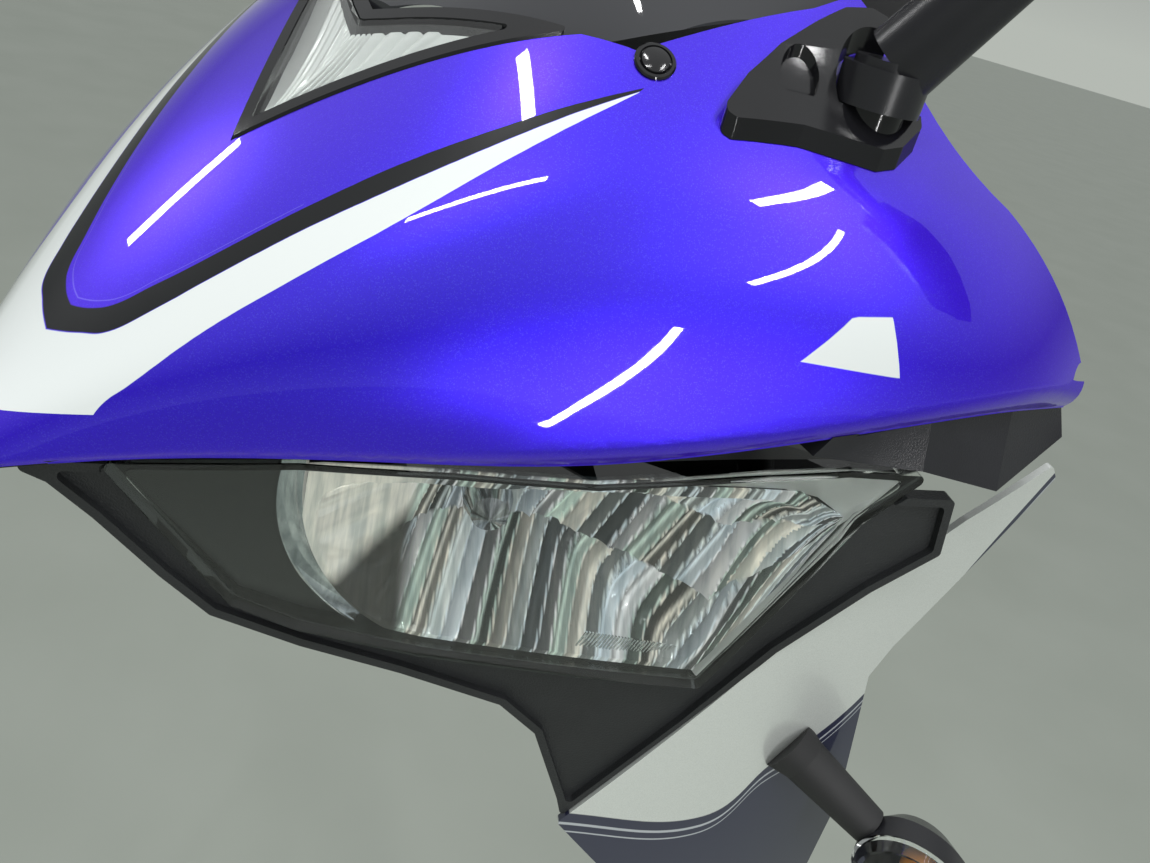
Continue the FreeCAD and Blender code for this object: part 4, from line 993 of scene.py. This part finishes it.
tops = np.array(TRAY_TOP)
reach = np.linspace(0, 1, len(tops))
halves = []
for mirror in (-1, 1):
    half = []
    for t in np.linspace(0, 1, TRAY_STEPS[0]):
        top = [np.interp(t, reach, tops[:, axis]) for axis in (0, 1)]
        if t < TRAY_FAN:
            fan = abs(math.sin(math.pi * TRAY_FLUTES * t / TRAY_FAN))
        else:
            fan = TRAY_FLAT[0] + TRAY_FLAT[1] * (t - TRAY_FAN)
        row = []
        for s in np.linspace(TRAY_START, 1, TRAY_STEPS[1]):
            x, y = [front + s * (back - front) for front, back in zip(TRAY_FRONT, top)]
            full = TRAY_SHALLOW + (1 - TRAY_SHALLOW) * min(1, TRAY_DEEPENS * t)
            sag = TRAY_BOWL * 4 * s * (1 - s) * full
            limit = tray_limit(x, y)
            row.append((mirror * x, y, min(limit - sag + TRAY_RIDGE * fan * s, limit + TRAY_OVER)))
        half.append(row)
    halves.append(half)
sheet = np.array(halves[0][::-1] + halves[1][1:])
front = (sheet + np.array([0, -NOSE_REACH, NOSE_RISE])) / 1000
points, faces = slab(front, front - np.array([0, 0, TRAY_THICK]))
tray = build("position_lamp_tray", points, faces, tray_silver, sharp=35)
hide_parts("position_lamp_reflector")

# %% [markdown]
# Ribs and clips repeat, so Geometry Nodes set them out. The first tree lays round ribs side by side
# between two places. The second stands one clip on every point of a small mesh, turned to the point's
# own direction. Both end as plain meshes, because the export leaves instances out.


# %% Geometry node trees
RIB_SIDES = 8
GROWN_SHARP = 35


def node_tree(name, sockets):
    """An empty geometry tree with named inputs; gives it, its inputs and where its result goes."""
    tree = bpy.data.node_groups.new(name, "GeometryNodeTree")
    tree.interface.new_socket("Geometry", in_out="OUTPUT", socket_type="NodeSocketGeometry")
    for socket, kind in (("Geometry", "Geometry"), *sockets, ("Material", "Material")):
        tree.interface.new_socket(socket, in_out="INPUT", socket_type="NodeSocket" + kind)
    return tree, tree.nodes.new("NodeGroupInput").outputs, tree.nodes.new("NodeGroupOutput").inputs[0]


def stand(tree, points, part, way, wear, result):
    """Stands a part on points along a way, realizes it and sets the material that it wears."""
    turn = add(tree, "FunctionNodeAlignRotationToVector", (("Vector", way),), axis="Z")
    stood = add(tree, "GeometryNodeInstanceOnPoints", (("Points", points), ("Instance", part),
                                                       ("Rotation", turn.outputs[0])))
    real = add(tree, "GeometryNodeRealizeInstances", (("Geometry", stood.outputs[0]),))
    smooth = add(tree, "GeometryNodeSetShadeSmooth", (("Geometry", real.outputs[0]),))
    worn = add(tree, "GeometryNodeSetMaterial", (("Geometry", smooth.outputs[0]), ("Material", wear)))
    tree.links.new(worn.outputs[0], result)


rib_tree, given, result = node_tree("rib_row", (
    ("Count", "Int"), ("Start", "Vector"), ("End", "Vector"), ("Length", "Float"), ("Radius", "Float"),
    ("Way", "Vector")))
line = add(rib_tree, "GeometryNodeMeshLine", (("Count", given["Count"]), ("Start Location", given["Start"]),
                                              ("Offset", given["End"])), mode="END_POINTS")
rib = add(rib_tree, "GeometryNodeMeshCylinder", (("Vertices", RIB_SIDES), ("Radius", given["Radius"]),
                                                 ("Depth", given["Length"])))
stand(rib_tree, line.outputs[0], rib.outputs[0], given["Way"], given["Material"], result)

clip_tree, given, result = node_tree("clips", (("Head", "Object"),))
head = add(clip_tree, "GeometryNodeObjectInfo", (("Object", given["Head"]),))
facing = add(clip_tree, "GeometryNodeInputNamedAttribute", (("Name", "facing"),), data_type="FLOAT_VECTOR")
stand(clip_tree, given["Geometry"], head.outputs["Geometry"], facing.outputs[0], given["Material"], result)


def grow(name, base, tree, values, made):
    """Runs a tree on a base mesh and keeps its result as a plain piece."""
    holder = into_scene(name + "_base", base)
    modifier = holder.modifiers.new("grow", "NODES")
    modifier.node_group = tree
    values = dict(values, Material=made)
    for item in tree.interface.items_tree:
        if item.in_out == "INPUT" and item.name in values:
            modifier[item.identifier] = values[item.name]
    holder.update_tag()
    bpy.context.view_layer.update()
    shown = holder.evaluated_get(bpy.context.evaluated_depsgraph_get())
    mesh = bpy.data.meshes.new_from_object(shown)
    bpy.data.objects.remove(holder)
    mesh.name = name
    return show(name, mesh, GROWN_SHARP)


# %% [markdown]
# The foot of each headlamp's bowl carries a panel of fine slanted ribs, set out by the first tree.

# %% Ribs in the headlamps
RIB_PANEL = ((206, -42.5), (246, -46.5))
RIB_COUNT = 34
RIB_LONG = 8.0
RIB_RADIUS = 0.42
RIB_WAY = (0.35, 1.0)
RIB_BEHIND = 6.5

for side, sign in SIDES:
    ends = [lamp_places(sign, along, up, behind_glass(along, up) + RIB_BEHIND) for along, up in RIB_PANEL]
    way = lamp_places(sign, *RIB_WAY, 0.0) - lamp_places(sign, 0.0, 0.0, 0.0)
    values = {"Count": RIB_COUNT, "Start": tuple(ends[0]), "End": tuple(ends[1]), "Length": RIB_LONG / 1000,
              "Radius": RIB_RADIUS / 1000, "Way": tuple(way)}
    grow(f"lamp_ribs_{side}", bpy.data.meshes.new("ribs"), rib_tree, values, ring_chrome)

# %% [markdown]
# A small round clip on each side holds the cowl's edge beside the screen. It is turned like a part on a
# lathe: a row of radii and heights, run round an axis. It stands where a plumb line meets the skin.

# %% Clips on the cowl
HEAD_STEPS = 28
CLIP_PROFILE = ((6.6, -1.0), (6.6, 0.5), (6.1, 1.0), (5.2, 1.1), (5.0, 0.5), (4.8, 0.4), (4.4, 1.3),
                (2.5, 1.9), (0.0, 2.0))
COWL_CLIP = (81.1, 180.7)


def turned(name, profile):
    """A part turned on a lathe, from radii and heights in millimetres."""
    points, faces = [(0, 0, profile[0][1] / 1000)], []
    rings = [step for step in profile if step[0] > 0]
    for radius, height in rings:
        for step in range(HEAD_STEPS):
            turn = 2 * math.pi * step / HEAD_STEPS
            points.append((radius * math.cos(turn) / 1000, radius * math.sin(turn) / 1000, height / 1000))
    points.append((0, 0, profile[-1][1] / 1000))
    last = len(points) - 1
    for step in range(HEAD_STEPS):
        after = (step + 1) % HEAD_STEPS
        faces.append((0, 1 + after, 1 + step))
        for ring in range(len(rings) - 1):
            low, high = 1 + ring * HEAD_STEPS, 1 + (ring + 1) * HEAD_STEPS
            faces.append((low + step, low + after, high + after, high + step))
        top = 1 + (len(rings) - 1) * HEAD_STEPS
        faces.append((top + step, top + after, last))
    mesh = bpy.data.meshes.new(name)
    mesh.from_pydata(points, [], faces)
    return into_scene(name, mesh)


seats = [plumb(skin_tree, sign * COWL_CLIP[0], COWL_CLIP[1]) for _, sign in SIDES]
clip = turned("clip", CLIP_PROFILE)
base = bpy.data.meshes.new("cowl_clips")
base.from_pydata([tuple(spot) for spot, _ in seats], [], [])
facing = base.attributes.new("facing", "FLOAT_VECTOR", "POINT")
facing.data.foreach_set("vector", np.array([tuple(normal) for _, normal in seats]).ravel())
grow("cowl_clips", base, clip_tree, {"Head": clip}, swatches["gloss_black"])
bpy.data.objects.remove(clip)

# %% [markdown]
# The floor is plain and pale, with a faint cloud so that it isn't dead flat. The surround is pale too, and
# darker just above the horizon, so that chrome has something to show.

# %% Floor
FLOOR_Z = -0.86
FLOOR_SIZE = 60
FLOOR_DARK = (0.35, 0.38, 0.33, 1)
FLOOR_LIGHT = (0.42, 0.45, 0.40, 1)
FLOOR_CLOUD = 0.004

bpy.ops.mesh.primitive_plane_add(size=FLOOR_SIZE, location=(0, 0, FLOOR_Z))
floor = bpy.context.object
floor.name = "floor"
floor_paint = material("floor", roughness=0.55)
tree = floor_paint.node_tree
spot = nose_places(tree)[0]
cloud = noise(tree, spot, FLOOR_CLOUD, 6.0)
feed(floor_paint, "Base Color", blend_colour(tree, cloud, FLOOR_DARK, FLOOR_LIGHT))
floor.data.materials.append(floor_paint)

# %% World
# height from straight down to straight up, colour
SURROUND = ((0.0, (0.46, 0.49, 0.45, 1)), (0.08, (0.36, 0.38, 0.36, 1)), (0.30, (0.16, 0.17, 0.17, 1)),
            (0.60, (0.62, 0.64, 0.64, 1)), (1.0, (0.84, 0.86, 0.86, 1)))

world = bpy.data.worlds.new("surround")
scene.world = world
world.use_nodes = True
tree = world.node_tree
sky_way = add(tree, "ShaderNodeTexCoord").outputs["Generated"]
height = add(tree, "ShaderNodeSeparateXYZ", ((0, sky_way),)).outputs[2]
ramp = add(tree, "ShaderNodeValToRGB", ((0, height),))
stops = ramp.color_ramp.elements
for stop, (position, colour) in zip(stops, (SURROUND[0], SURROUND[-1])):
    stop.position, stop.color = position, colour
for position, colour in SURROUND[1:-1]:
    stops.new(position).color = colour
background = tree.nodes["Background"]
tree.links.new(ramp.outputs[0], background.inputs["Color"])
background.inputs["Strength"].default_value = 1.0
print("surround of", len(stops), "colours")

# %% [markdown]
# The lamps are long and narrow, like the tubes over a workbench, and each leaves a streak on the paint.
# Every tube faces the headlamp, so a line on the paint can be moved by moving the tube's two ends.

# %% Lights
TUBES = (
    # name, start, end, width in metres, watts
    ("low_tube", (1450, -545, -110), (1400, -420, 630), 0.014, 5.0),
    ("side_tube", (1310, -265, 915), (1030, 230, 1320), 0.014, 3.0),
    ("over_tube", (185, -720, 1330), (580, -405, 1425), 0.03, 3.0),
    ("crown_tube", (-240, -60, 1585), (115, -250, 1575), 0.05, 4.0),
    ("far_tube", (-1245, -475, 690), (-1190, -300, 915), 0.04, 2.0),
    ("rear_tube", (980, 25, 1345), (775, 475, 1435), 0.03, 3.0),
)
TUBES_FACE = (120, 150, 60)

for name, start, end, width, power in TUBES:
    start, end = place(*start), place(*end)
    data = bpy.data.lights.new(name, "AREA")
    data.shape = "RECTANGLE"
    data.size = (end - start).length
    data.size_y = width
    data.energy = power
    light = into_scene(name, data)
    centre = (start + end) / 2
    along = (end - start).normalized()
    away = (centre - place(*TUBES_FACE)).normalized()
    across = away.cross(along).normalized()
    away = along.cross(across).normalized()
    light.matrix_world = Matrix.Translation(centre) @ Matrix((along, across, away)).transposed().to_4x4()
    light.visible_camera = False
scene.view_settings.view_transform = "Standard"
print(len(TUBES), "tubes")
